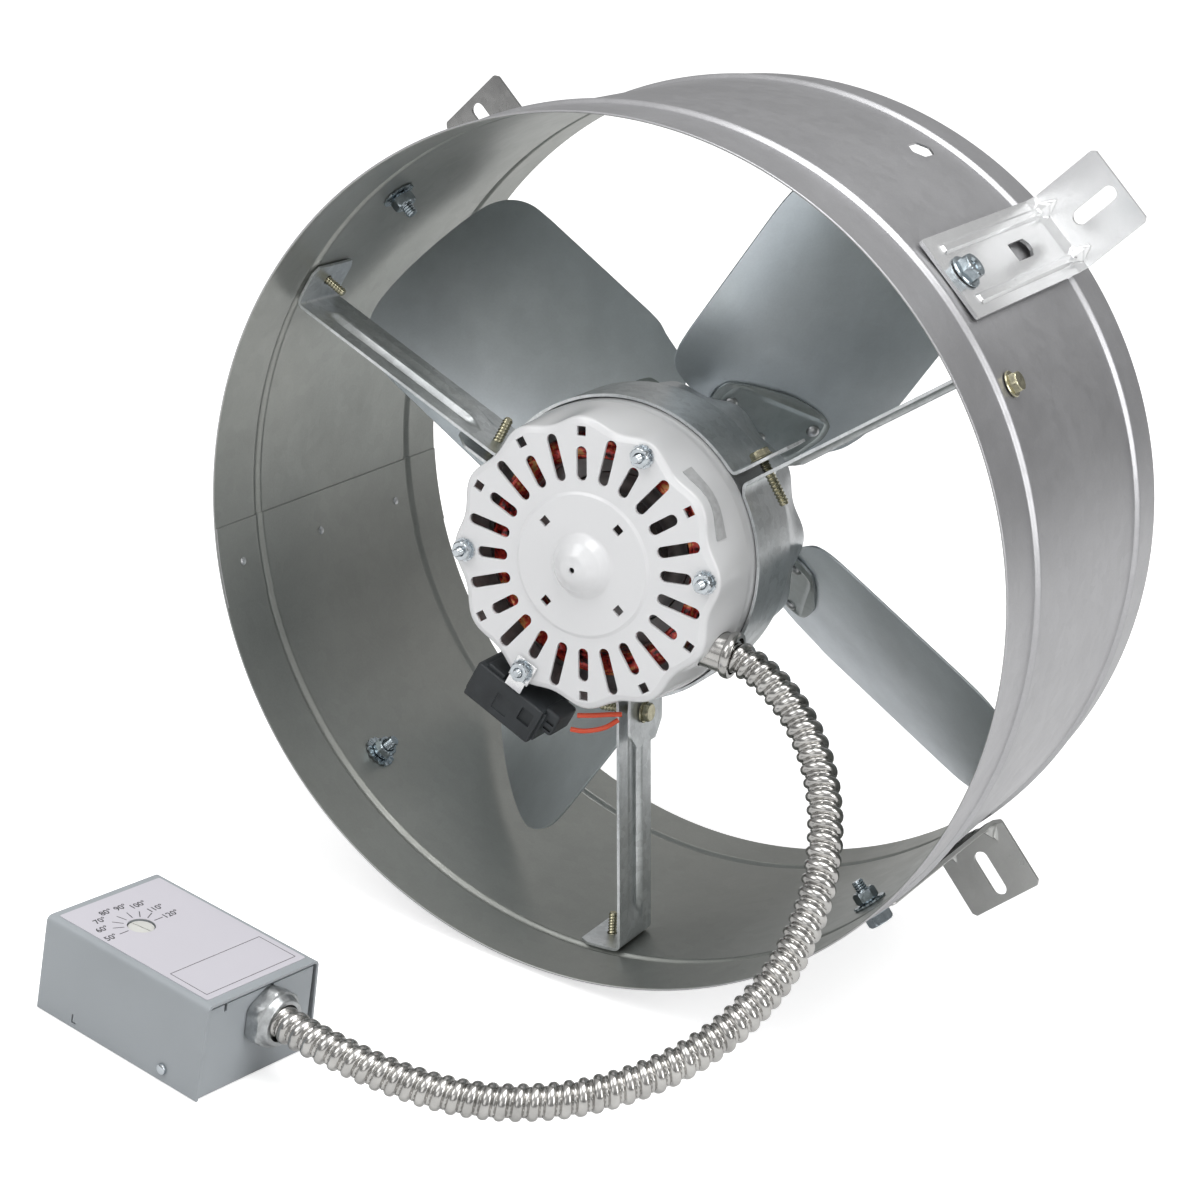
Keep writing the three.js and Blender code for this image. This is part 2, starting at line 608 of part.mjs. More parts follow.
function addStator() {
  const gap = 0.35; // clearance to the cap and to the bell
  const coilSection = (k, radius) => turned(circle(radius, 6, [COIL_R, 0]), 30 * k + 15);
  const holes = [
    circle(36, 24),
    ...times(12, (k) => coilSection(k, 3.1)),
    ...THROUGH_PHI.map((phi) => throughHole(phi, 2.6)),
  ];
  const core = prism(circle(69.4, 48), CAP_REAR_Y + gap, BELL_Y[0] - gap, alongY, holes);
  put('stator_core', core, STEEL, FAN);

  // a ring of windings at each end of the core, joined by bars in its slots
  const coilEnd = (coreY, endY) => {
    const shoulderY = endY + 3 * Math.sign(coreY - endY);
    return revolve([
      [49.6, shoulderY], [52, endY], [55, endY], [57.4, shoulderY], [57.4, coreY], [49.6, coreY],
    ], 24);
  };
  const bars = times(12, (k) => prism(coilSection(k, 2.6), 34, 69, alongY));
  const winding = combine(coilEnd(CAP_REAR_Y, 15), [coilEnd(67.2, 86), ...bars]);
  put('stator_winding', winding, WINDING_RED, FAN);
}

function addBearings() {
  for (const [name, y0, y1] of [['front_bearing', 3.1, 12], ['rear_bearing', 88.5, 100.2]]) {
    const profile = [
      [SHAFT_BORE_R, y0], [10.8, y0], [11.4, y0 + 0.8],
      [11.4, y1 - 0.8], [10.8, y1], [SHAFT_BORE_R, y1],
    ];
    put(name, revolve(profile, 16), BEARING_METAL, FAN);
  }
}

function addThroughBolts() {
  THROUGH_PHI.forEach((phi, i) => {
    // a stud that ends inside the sheet of the rear shell, clear of the blades
    put('through_bolt_' + (i + 1), prism(throughHole(phi, 2.0), -5.6, 95.4, alongY), ZINC, FAN);
    // the nut over the capacitor strap stands further out
    const nutY = i === STRAP_BOLT ? -3.3 : -1.7;
    put('through_nut_' + (i + 1), hexNut(8, 3.6, 2.3), ZINC,
      new THREE.Matrix4().makeRotationX(-Math.PI / 2).setPosition(0, nutY, 0),
      translate(THROUGH_R, 0, 0), turnPhi(phi), FAN);
  });
}

// ------------------------------------------------- capacitor and its leads
const CAPACITOR_PHI = -120.5;
// outlines across and outwards, seen along the fan axis
const CAPACITOR_BODY = [
  [-18, 72.5], [18.5, 72.5], [19.5, 73.5], [19.5, 90], [18.5, 91], [-18, 91], [-19, 90],
  [-19, 73.5],
];
const CAPACITOR_TAIL = [[-29, 70.5], [-17, 70.5], [-17, 85], [-29, 82]];
const STRAP_X = [-7, 6.5];
const WIRE_R = 1.15;
const WIRE_1_DROP = 1.2;     // the first lead lies this far below its path
// x, y, z
const WIRE_1_PATH = [[-8.4, 12, -73.2], [-1, 14, -72.6], [6, 17, -72.0], [10, 20, -72.2]];
const WIRE_2_PATH = [[-12.0, 12, -81.6], [-6, 13, -81.8], [4, 15, -79.2], [9, 19, -75.9]];

const curveThrough = (points) =>
  new THREE.CatmullRomCurve3(points.map((point) => new THREE.Vector3(...point)));

function addCapacitor() {
  const body = prism(CAPACITOR_BODY, 1, 28.5, alongY);
  const tail = prism(CAPACITOR_TAIL, 5, 24, alongY);
  const lug = prism(rect(6, 16, 70.6, 73), 3, 20, alongY);
  put('capacitor', combine(body, [tail, lug]), BLACK, radial(CAPACITOR_PHI), FAN);

  // a stepped strap under one motor nut reaches over the capacitor's face
  const boltHole = circle(THROUGH_HOLE_R, 8, [0, THROUGH_R]);
  const strap = prism(rect(...STRAP_X, 54.5, 67.8), 0.3, 1.5, alongY, [boltHole]);
  const reach = prism(rect(...STRAP_X, 66.5, 77), -0.6, 0.55, alongY);
  put('capacitor_strap', combine(strap, [reach]), ZINC, radial(THROUGH_PHI[STRAP_BOLT]), FAN);

  const lowered = WIRE_1_PATH.map(([x, y, z]) => [x, y, z - WIRE_1_DROP]);
  [lowered, WIRE_2_PATH].forEach((path, i) => {
    put('lead_wire_' + (i + 1), sweep(curveThrough(path), 9, 6, WIRE_R), WIRE_RED, FAN);
  });
}

// ------------------------------------------------------------------ fan
const BLADES = 4;
const BLADE_PHI = 53.1;      // first blade
const BLADE_Y = 128;         // where the blade crosses its own pitch axis
const BLADE_PITCH = -45.5;   // degrees; the edge at positive "across" lies nearer the motor
const BLADE_CAMBER = 0.08;   // mm at 10 mm from the pitch axis, grows with the square
const BLADE_T = 1.0;
// distance across the blade, radius of its outer edge
const BLADE_TIP = [
  [-53.5, 166], [-53, 175], [-51, 181], [-48, 185], [-43, 188.5], [-35, 190.8], [-22, 191.5],
  [14, 191.5], [35, 191], [46, 189.5], [53, 186], [58, 181], [61.5, 175.5], [63.3, 168],
  [63.8, 158],
];
// distance across the blade, radius of its inner edge
const BLADE_ROOT = [
  [-53.5, 92], [-53, 85], [-50.5, 77.5], [-47.3, 65.5], [-42, 55.5], [-32, 48.3], [-25, 44.8],
  [-16, 43.5], [18, 43.5], [28, 46.5], [36, 50.5], [44, 54], [52, 57.5], [58, 61], [61.5, 66],
  [63.3, 73], [63.8, 82],
];
const EXTRA_STATIONS = [-46, -39, -28.5, -16, -4, 4, 25];
const SPIDER_T = 1.2;
const SPIDER_LIFT = -1.4;    // middle of the spider's sheet, from the middle of the blade's
// radius, first edge, last edge, share of the blade's pitch and camber
const SPIDER_ARM = [
  [11.5, -9, 9, 0.06], [18, -10, 11, 0.25], [26, -13, 16, 0.65], [34, -17, 22, 0.95],
  [42, -22, 29, 1], [51, -26, 34.5, 1], [59, -28.5, 35, 1], [65, -27.5, 33, 1],
  [69, -22, 24, 1], [71.5, -12, 11, 1], [72.6, -4, 2, 1],
];
const SET_SCREW = radial(98, 117);

// a point of the sheet of a blade that stands along +X; share scales its twist
function bladePoint(radius, across, lift, share = 1) {
  const [cos, sin] = polar(1, BLADE_PITCH * share);
  const rise = BLADE_CAMBER * share * across * across / 100 + lift;
  return [radius, BLADE_Y + across * sin + rise * cos, across * cos - rise * sin];
}

// linear interpolation in a table of [station, value]
function interpolate(table, station) {
  const i = Math.max(1, table.findIndex(([end]) => station <= end));
  const [[x0, y0], [x1, y1]] = [table[i - 1], table[i]];
  return y0 + (y1 - y0) * (station - x0) / (x1 - x0);
}

const turnBlade = (k) => turnPhi(BLADE_PHI + 360 * k / BLADES);

function addBlades() {
  const stations = [...BLADE_TIP.map(([across]) => across), ...EXTRA_STATIONS];
  stations.sort((a, b) => a - b);
  const face = (lift) => stations.map((across) => {
    // the outer edge is measured from the fan axis, not along the blade
    const outer = interpolate(BLADE_TIP, across);
    const offset = bladePoint(0, across, 0)[2];
    const ends = [interpolate(BLADE_ROOT, across), Math.sqrt(outer * outer - offset * offset)];
    return ends.map((radius) => bladePoint(radius, across, lift));
  });
  const blade = sheet(face(-BLADE_T / 2), face(BLADE_T / 2));
  for (let k = 0; k < BLADES; k++) {
    put('fan_blade_' + (k + 1), blade, BLADE_METAL, turnBlade(k), FAN);
  }
}

// a flat centre and arms that twist into the pitch of the blades
function addSpider() {
  const face = (lift) => SPIDER_ARM.map(([radius, first, last, share]) =>
    times(5, (j) => bladePoint(radius, first + (last - first) * j / 4, lift, share)));
  const arm = sheet(face(SPIDER_LIFT - SPIDER_T / 2), face(SPIDER_LIFT + SPIDER_T / 2));
  const arms = times(BLADES, (k) => placed(arm.clone(), turnBlade(k)));
  const disc = revolve([[9.2, 125.9], [21, 125.9], [21, 127.3], [9.2, 127.3]], 20);
  const bore = prism(circle(9.3, 20), 110, 145, alongY);
  put('blade_spider', combine(disc, arms, [bore]), DARK_GALVANISED, FAN);
}

function addHubAndShaft() {
  // wide on the motor side, narrow where it passes through the spider
  const hub = revolve([
    [SHAFT_BORE_R, 109], [12.5, 109], [12.5, 125.2], [8.8, 125.2], [8.8, 130.5],
    [SHAFT_BORE_R, 130.5],
  ], 20);
  const screwHole = placed(prism(circle(2.6, 8), 3, 14), SET_SCREW);
  put('fan_hub', combine(hub, [], [screwHole]), HUB_METAL, FAN);
  const setScrew = stack([[circle(2.2, 8), 13.4], [circle(2.2, 8), 4.5]]);
  put('hub_set_screw', setScrew, STEEL, SET_SCREW, FAN);

  const [start, end, chamfer, endRadius] = [-3, 136, 0.8, 3.4];
  put('motor_shaft', revolve([
    [0, start], [endRadius, start], [SHAFT_R, start + chamfer],
    [SHAFT_R, end - chamfer], [endRadius, end], [0, end],
  ], 14), STEEL, FAN);
  put('rotor_core', revolve([
    [SHAFT_BORE_R, 30], [26, 30], [26, 35.5], [35.4, 36.3], [35.4, 66.7], [26, 67.5], [26, 73],
    [SHAFT_BORE_R, 73],
  ], 24), ROTOR_METAL, FAN);
}

// --------------------------------------------------------------- conduit
const CONDUIT_R = 7.9;
const CONDUIT_BORE_R = 6.4;
const CONDUIT_TRIM = [8.2, 3.0]; // left off the centreline at the motor and at the box

function addConduit() {
  const points = CONDUIT.map((point) => new THREE.Vector3(...point));
  const whole = new THREE.CatmullRomCurve3(points, false, 'centripetal');
  const length = whole.getLength();
  const [startTrim, endTrim] = CONDUIT_TRIM;
  // starts just inside the motor connector and ends inside the box connector
  const trimmed = new THREE.CatmullRomCurve3(times(49, (i) =>
    whole.getPointAt((startTrim + (length - startTrim - endTrim) * i / 48) / length)));
  put('flexible_conduit', sweep(trimmed, 38, 10, CONDUIT_R, CONDUIT_BORE_R), CONDUIT_METAL);

  // radius, distance along the conduit
  const profile = [[8.6, 3.2], [8.6, 17.5], [10.6, 17.5], [10.6, 13.4], [9.1, 13.0], [9.1, 3.2]];
  const connector = stack(profile.map(([radius, z]) => [circle(radius, 14), z]), true);
  put('motor_conduit_connector', connector, ZINC, CONDUIT_START);
}

// -------------------------------------------------------- thermostat box
// Drawn with x along the box, its middle at x = y = 0 and its floor at z = 0.
const BOX_HALF_L = 98 / 2;
const BOX_HALF_W = 66 / 2;
const BOX_H = 44.5;
const BOX_T = 1.2;
const BOX_YAW = -8.8;
const BOX_AT = [-84, -154.3];
const COVER_FLARE = 1.6;     // how far each long side spreads towards the ground
const PANEL_X = BOX_HALF_L - 0.8; // outer face of the end panels
const FLANGE_Y = BOX_HALF_W - BOX_T - 1.2; // side edges of the base
const BOX_PORT = [3.6, 28.4]; // conduit entry: y, z
const COVER_SCREWS = [[28, -1], [-28, 1]]; // x, side of the box
const COVER_SCREW_Z = 6.2;
const DIAL_AT = [-18, -7.4];
const DIAL_R = 7.2;
const BOX = translate(...BOX_AT, FLOOR_Z)
  .multiply(new THREE.Matrix4().makeRotationZ(rad(BOX_YAW)));

const dialWindow = circle(DIAL_R + 0.6, 20, DIAL_AT);

// holes for the cover screws, between two distances from the middle of the box
const coverScrewHoles = (from, to) => COVER_SCREWS.map(([x, side]) =>
  prism(octagon(1.9, [x, COVER_SCREW_Z]), side * from, side * to, alongY));

// top and two long sides
function addCover() {
  const [W, H, T] = [BOX_HALF_W, BOX_H, BOX_T];
  // y, z of the half at positive y
  const outer = [[W - 3.2, H], [W - 0.9, H - 0.9], [W, H - 3.2], [W + COVER_FLARE, 0.3]];
  const inner = [
    [W + COVER_FLARE - T, 0.3], [W - T, H - 3.6], [W - T - 0.7, H - T - 0.7], [W - 3.6, H - T],
  ];
  const half = [...outer, ...inner];
  const mirrored = half.map(([y, z]) => [-y, z]).reverse();
  const cover = prism([...half, ...mirrored], -BOX_HALF_L, BOX_HALF_L, alongX);
  const cuts = [prism(dialWindow, H - 4, H + 3), ...coverScrewHoles(W - 4, W + 6)];
  put('thermostat_cover', combine(cover, [], cuts), GREY_PAINT, BOX);
}

// floor and two end panels, with a flange on each side for the cover screws
function addBase() {
  const panelTop = BOX_H - BOX_T - 1.3;
  const panelInner = PANEL_X - BOX_T;
  const profile = [
    [-PANEL_X, 0], [-PANEL_X, panelTop], [-panelInner, panelTop], [-panelInner, BOX_T],
    [panelInner, BOX_T], [panelInner, panelTop], [PANEL_X, panelTop], [PANEL_X, 0],
  ];
  const base = prism(profile, -FLANGE_Y, FLANGE_Y, alongY);
  const flanges = COVER_SCREWS.map(([x, side]) =>
    prism(rect(x - 6, x + 6, 0.2, 12), side * (FLANGE_Y - 1.5), side * FLANGE_Y, alongY));
  const port = prism(circle(9.6, 16, BOX_PORT), BOX_HALF_L - 6, BOX_HALF_L + 3, alongX);
  const cuts = [port, ...coverScrewHoles(BOX_HALF_W - 6, BOX_HALF_W + 2)];
  put('thermostat_base', combine(base, flanges, cuts), GREY_PAINT, BOX);
}

function addCoverScrews() {
  // radius, distance outwards from the cover
  const profile = [[2.9, 1.7], [3.3, 0.6], [3.3, 0], [1.5, 0], [1.5, -6.5]];
  const screw = stack(profile.map(([radius, z]) => [circle(radius, 12), z]));
  const seatY = BOX_HALF_W + COVER_FLARE + 0.05;
  COVER_SCREWS.forEach(([x, side], i) => {
    const seat = frame([x, side * seatY, COVER_SCREW_Z], [-side, 0, 0], [0, 0, 1], [0, side, 0]);
    put('cover_screw_' + (i + 1), screw, ZINC, seat, BOX);
  });
}

function addLabelSwitchAndDial() {
  const margin = 3.6;
  const labelOutline = rect(
    -BOX_HALF_L + 3.5, BOX_HALF_L - 3.0, -BOX_HALF_W + margin, BOX_HALF_W - margin,
  );
  const label = prism(labelOutline, BOX_H + 0.06, BOX_H + 0.36, alongZ, [dialWindow]);
  put('thermostat_label', label, LABEL_GREY, BOX);

  // a block under the dial with a round neck that ends below the dial's stem
  const block = prism(rect(-40, 4, -20, 8), BOX_T + 0.3, BOX_H - 12);
  const neck = prism(circle(5.4, 12, DIAL_AT), BOX_H - 13, BOX_H - 8.5);
  put('thermostat_switch', combine(block, [neck]), SWITCH_BROWN, BOX);

  // radius, z
  const profile = [
    [DIAL_R, BOX_H + 0.2], [DIAL_R, BOX_H - 2.2], [2.4, BOX_H - 2.2], [2.4, BOX_H - 8.1],
  ];
  const dial = stack(profile.map(([radius, z]) => [circle(radius, 20), z]));
  const groove = prism(rect(-DIAL_R - 1, DIAL_R + 1, -0.6, 0.6), BOX_H - 0.9, BOX_H + 2);
  put('thermostat_dial', combine(dial, [], [groove]), DIAL_WHITE, translate(...DIAL_AT, 0), BOX);
}

// connector body through the end panel with a locknut inside
function addBoxConnector() {
  const port = frame([PANEL_X, ...BOX_PORT], [0, 1, 0], [0, 0, 1], [1, 0, 0]);
  const connector = stack([
    [circle(8.5, 12), -8], [circle(8.5, 12), 15.5], [circle(10.6, 12), 15.5],
    [circle(11.2, 12), 12], [circle(11.6, 12), 7], [hexagon(25), 6.6], [hexagon(25), 0.35],
    [circle(9.1, 12), 0.35], [circle(9.1, 12), -8],
  ], true);
  put('box_conduit_connector', connector, ZINC, port, BOX);
  const locknut = stack([
    [circle(9.5, 12), -1.55], [circle(9.5, 12), -4.4], [hexagon(23), -4.4], [hexagon(23), -1.55],
  ], true);
  put('connector_locknut', locknut, ZINC, port, BOX);
}

// -------------------------------------------------------------- assembly
addHousingRing();
addWallBrackets();
addMotorArms();
addFrontCap();
addRearBell();
addStator();
addBearings();
addThroughBolts();
addCapacitor();
addBlades();
addSpider();
addHubAndShaft();
addConduit();
addCover();
addBase();
addCoverScrews();
addLabelSwitchAndDial();
addBoxConnector();

export default ventilator;
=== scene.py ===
"""Ventilator fan standing on its wall brackets, joined by a conduit to a thermostat box.

Pieces are drawn in millimetres and built in metres. The fan axis runs along +Y, 202.5 above the
floor; y = 0 is the edge of the housing ring that faces the camera. Angles around the axis are in
degrees from +X towards +Z. The box has its own frame: its centre on the floor, its length along x.
"""
import bpy
import bmesh
import math
import numpy as np
from mathutils import Matrix, Vector


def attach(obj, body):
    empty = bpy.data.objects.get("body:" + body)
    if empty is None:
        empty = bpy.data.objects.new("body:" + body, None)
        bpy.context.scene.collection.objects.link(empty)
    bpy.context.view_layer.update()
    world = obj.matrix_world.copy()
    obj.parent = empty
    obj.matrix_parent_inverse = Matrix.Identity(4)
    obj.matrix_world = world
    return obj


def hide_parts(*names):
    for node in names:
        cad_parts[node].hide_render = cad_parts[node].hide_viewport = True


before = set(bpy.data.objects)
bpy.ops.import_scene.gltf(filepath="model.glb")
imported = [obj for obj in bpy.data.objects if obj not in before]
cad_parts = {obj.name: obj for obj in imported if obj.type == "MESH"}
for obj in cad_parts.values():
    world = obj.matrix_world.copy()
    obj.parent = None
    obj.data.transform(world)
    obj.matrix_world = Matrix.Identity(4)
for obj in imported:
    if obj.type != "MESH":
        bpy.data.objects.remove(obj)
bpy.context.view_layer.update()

DEG = math.pi / 180
AXIS_HEIGHT = 202.5
ROOT, ROTOR, DIAL = "ventilator_frame", "fan_rotor", "dial"


# ------------------------------------------------------------------ shader nodes
class Shading:
    """A node tree with short ways to add nodes"""

    def __init__(self, tree):
        self.tree = tree

    def fill(self, socket, value):
        """Link a socket to another, or set its value"""
        if isinstance(value, bpy.types.NodeSocket):
            self.tree.links.new(value, socket)
        else:
            socket.default_value = (*value, 1) if socket.type == "RGBA" else value

    def configure(self, node, **settings):
        """Set named inputs (underscores stand for spaces) or properties"""
        for name, value in settings.items():
            socket = node.inputs.get(name.replace("_", " "))
            if socket is None:
                setattr(node, name, value)
            else:
                self.fill(socket, value)

    def add(self, kind, *values, **settings):
        """New node; the values go to its first inputs"""
        node = self.tree.nodes.new("ShaderNode" + kind)
        self.configure(node, **settings)
        for socket, value in zip(node.inputs, values):
            self.fill(socket, value)
        return node

    def ramp(self, source, *stops):
        """Colour ramp through stops of (position, grey or colour)"""
        node = self.add("ValToRGB", source)
        elements = node.color_ramp.elements
        while len(elements) < len(stops):
            elements.new(0.5)
        for element, (position, colour) in zip(elements, stops):
            if not hasattr(colour, "__len__"):
                colour = (colour,) * 3
            element.position = position
            element.color = (*colour, 1)
        return node.outputs[0]

    def mix(self, factor, first, second, blend="MIX"):
        node = self.add("Mix", data_type="RGBA", blend_type=blend)
        for index, value in ((0, factor), (6, first), (7, second)):
            self.fill(node.inputs[index], value)
        return node.outputs[2]

    def multiply(self, first, second, factor=1.0):
        return self.mix(factor, first, second, "MULTIPLY")

    def calc(self, operation, *values, clamp=False):
        return self.add("Math", *values, operation=operation, use_clamp=clamp).outputs[0]


MATERIALS = {}


class Material(Shading):
    """A new material with its surface shader and object coordinates"""

    def __init__(self, name):
        self.material = MATERIALS[name] = bpy.data.materials.new(name)
        self.material.use_nodes = True
        super().__init__(self.material.node_tree)
        self.shader = self.tree.nodes["Principled BSDF"]
        self.place = self.coordinates((1, 1, 1))

    def coordinates(self, scale):
        source = self.add("TexCoord").outputs["Object"]
        return self.add("Mapping", Vector=source, Scale=scale).outputs[0]

    def noise(self, scale, detail=3, roughness=0.5, distortion=0.0, at=None):
        node = self.add("TexNoise", Vector=at or self.place, Scale=scale, Detail=detail,
                        Roughness=roughness, Distortion=distortion)
        return node.outputs["Fac"]

    def surface(self, **inputs):
        self.configure(self.shader, **inputs)

    def bump(self, height, distance, strength):
        node = self.add("Bump", Height=height, Distance=distance, Strength=strength)
        self.surface(Normal=node.outputs[0])


def shades(colour, variation):
    """Ramp stops from a darker to a lighter shade of a colour"""
    dark = tuple(c * (1 - variation) for c in colour)
    light = tuple(min(1, c * (1 + variation)) for c in colour)
    return (0.3, dark), (0.7, light)


# ------------------------------------------------------------------ materials
def sheet_metal(name, dark, light, rough, cloud, spangle, spangle_amount, streak=None,
                metal=0.92, fine=0.4, wavy=0.35, cell_rough=0.05):
    """Zinc-coated sheet: soft clouds, faint crystal cells, rolling streaks and fine speckle.

    cloud and spangle are texture scales, streak a stretched scale, rough a (low, high) range;
    the rest are strengths.
    """
    mat = Material(name)
    clouds = mat.noise(scale=cloud, roughness=0.55, distortion=0.6)
    colour = mat.ramp(clouds, (0.3, dark), (0.7, light))
    warp = mat.noise(scale=spangle * 0.35, detail=2)
    warped = mat.add("VectorMath", warp, (0.01, 0.01, 0.01), mat.place, operation="MULTIPLY_ADD")
    cells = mat.add("TexVoronoi", Vector=warped.outputs[0], Scale=spangle, Randomness=1.0)
    cell = mat.add("SeparateColor", cells.outputs["Color"])
    brightness = mat.calc("MULTIPLY_ADD", cell.outputs[0], 2 * spangle_amount,
                          1 - spangle_amount)
    # a plain white layer, which leaves the colour as it is
    white = (1, 1, 1)
    colour = mat.multiply(colour, mat.mix(0.0, white, white))
    grey = mat.add("CombineColor", brightness, brightness, brightness)
    colour = mat.multiply(colour, grey.outputs[0])
    if streak:
        streaks = mat.noise(scale=1.0, detail=4, roughness=0.6, at=mat.coordinates(streak))
        streaks = mat.ramp(streaks, (0.35, 0.86), (0.65, 1.08))
        colour = mat.multiply(colour, streaks, factor=0.8)
    speckle = mat.noise(scale=900, detail=2, roughness=0.6)
    colour = mat.multiply(colour, mat.ramp(speckle, (0.3, 0.94), (0.7, 1.03)), factor=fine)

    spread = rough[1] - rough[0]
    patches = mat.noise(scale=cloud * 3.1, detail=4, roughness=0.6)
    patches = mat.calc("MULTIPLY_ADD", patches, 1.6 * spread, rough[0] - 0.3 * spread)
    cell_share = mat.calc("MULTIPLY", cell.outputs[1], cell_rough)
    mat.surface(Base_Color=colour, Metallic=metal,
                Roughness=mat.calc("ADD", patches, cell_share, clamp=True))
    waves = mat.calc("MULTIPLY", mat.noise(scale=26, detail=2), 1.0)
    grain = mat.calc("MULTIPLY", mat.noise(scale=1400, detail=2), 0.02)
    mat.bump(mat.calc("ADD", waves, grain), distance=0.0006, strength=wavy)
    return mat, colour


def plain_metal(name, colour, rough, variation=0.12, smudge=60, grain=500,
                bump_distance=0.00004):
    """Bare or plated metal; smudge and grain are texture scales"""
    mat = Material(name)
    smudges = mat.noise(scale=smudge, detail=4, roughness=0.6, distortion=0.4)
    fine = mat.noise(scale=grain, roughness=0.6)
    mat.surface(Base_Color=mat.ramp(smudges, *shades(colour, variation)), Metallic=1.0,
                Roughness=mat.calc("MULTIPLY_ADD", fine, 0.16, rough - 0.08))
    mat.bump(fine, distance=bump_distance, strength=0.6)


def enamel(name, colour, rough, coat=0.0, orange=900, variation=0.03, smudge=12,
           bump_distance=0.00005):
    """Paint or plastic with an orange-peel grain; smudge and orange are texture scales"""
    mat = Material(name)
    smudges = mat.noise(scale=smudge)
    peel = mat.noise(scale=orange, detail=2)
    mat.surface(Base_Color=mat.ramp(smudges, *shades(colour, variation)),
                Roughness=mat.calc("MULTIPLY_ADD", peel, 0.08, rough - 0.04),
                Coat_Weight=coat, Coat_Roughness=0.08)
    mat.bump(peel, distance=bump_distance, strength=0.5)


def ring_material():
    """Galvanised sheet; the side that faces the fan axis is darkened as painted shade and tinted
    greener
    """
    mat, colour = sheet_metal(
        "galvanised_sheet", dark=(0.505, 0.505, 0.51), light=(0.585, 0.585, 0.59),
        rough=(0.30, 0.42), cloud=5.5, spangle=170, spangle_amount=0.022, streak=(5, 1.2, 5),
        metal=0.86, fine=0.7, wavy=0.22)

    def vector(operation, *values):
        return mat.add("VectorMath", *values, operation=operation).outputs

    position = mat.add("TexCoord").outputs["Object"]
    from_centre = vector("SUBTRACT", position, (0, 0, AXIS_HEIGHT / 1000))[0]
    from_axis = vector("MULTIPLY", from_centre, (1, 0, 1))[0]
    world_normal = mat.add("NewGeometry").outputs["True Normal"]
    normal = mat.add("VectorTransform", world_normal, vector_type="NORMAL",
                     convert_from="WORLD", convert_to="OBJECT").outputs[0]
    facing = vector("DOT_PRODUCT", from_axis, normal)["Value"]
    # the inner face is darkened as painted shade and tinted greener
    inside = mat.calc("LESS_THAN", facing, -0.02)
    clouds = mat.noise(scale=4.2, detail=2, distortion=0.3)
    inner_shade_tint = mat.ramp(clouds, (0.34, (0.60, 0.625, 0.585)), (0.66, (0.78, 0.79, 0.735)))
    inner_painted_shade = mat.multiply(colour, inner_shade_tint)
    bright = mat.multiply(colour, (0.89, 0.89, 0.905))
    mat.surface(Base_Color=mat.mix(inside, bright, inner_painted_shade))


def conduit_material():
    mat = Material("conduit_steel")
    smudges = mat.noise(scale=70, detail=4, roughness=0.6, distortion=0.5)
    grain = mat.noise(scale=700, roughness=0.6)
    mat.surface(
        Base_Color=mat.ramp(smudges, (0.3, (0.42, 0.413, 0.40)), (0.7, (0.61, 0.60, 0.58))),
        Roughness=mat.calc("MULTIPLY_ADD", grain, 0.10, 0.15), Metallic=1.0)
    mat.bump(grain, distance=0.00002, strength=0.3)


def winding_material():
    """Enamelled wire in blotches from near black through red to copper; the near black is painted
    shade and the copper and pale stops are partly painted highlight
    """
    mat = Material("enamelled_wire")
    tone_and_painted_light_blotches = mat.noise(scale=230, detail=2, roughness=0.6, distortion=0.2)
    # near black is painted shade; the copper and pale stops are partly painted highlight over the
    # wire's own red and copper
    colour = mat.ramp(tone_and_painted_light_blotches, (0.36, (0.05, 0.012, 0.012)), (0.45, (0.55, 0.03, 0.028)),
                      (0.54, (0.72, 0.07, 0.04)), (0.62, (0.85, 0.36, 0.12)),
                      (0.74, (0.60, 0.42, 0.16)))
    mat.surface(Base_Color=colour, Metallic=0.55, Roughness=0.28, Coat_Weight=0.5)
    mat.bump(mat.noise(scale=900, detail=2), distance=0.0001, strength=0.5)


def core_material():
    """Laminations stacked along the fan axis"""
    mat = Material("lamination_stack")
    bands = mat.add("TexWave", Vector=mat.place, Scale=500.0, Distortion=0.6, Detail=1.0,
                    wave_type="BANDS", bands_direction="Y").outputs["Fac"]
    mat.surface(
        Base_Color=mat.ramp(bands, (0.0, (0.26, 0.265, 0.27)), (1.0, (0.48, 0.485, 0.49))),
        Metallic=0.85, Roughness=0.42)
    mat.bump(bands, distance=0.0001, strength=0.6)


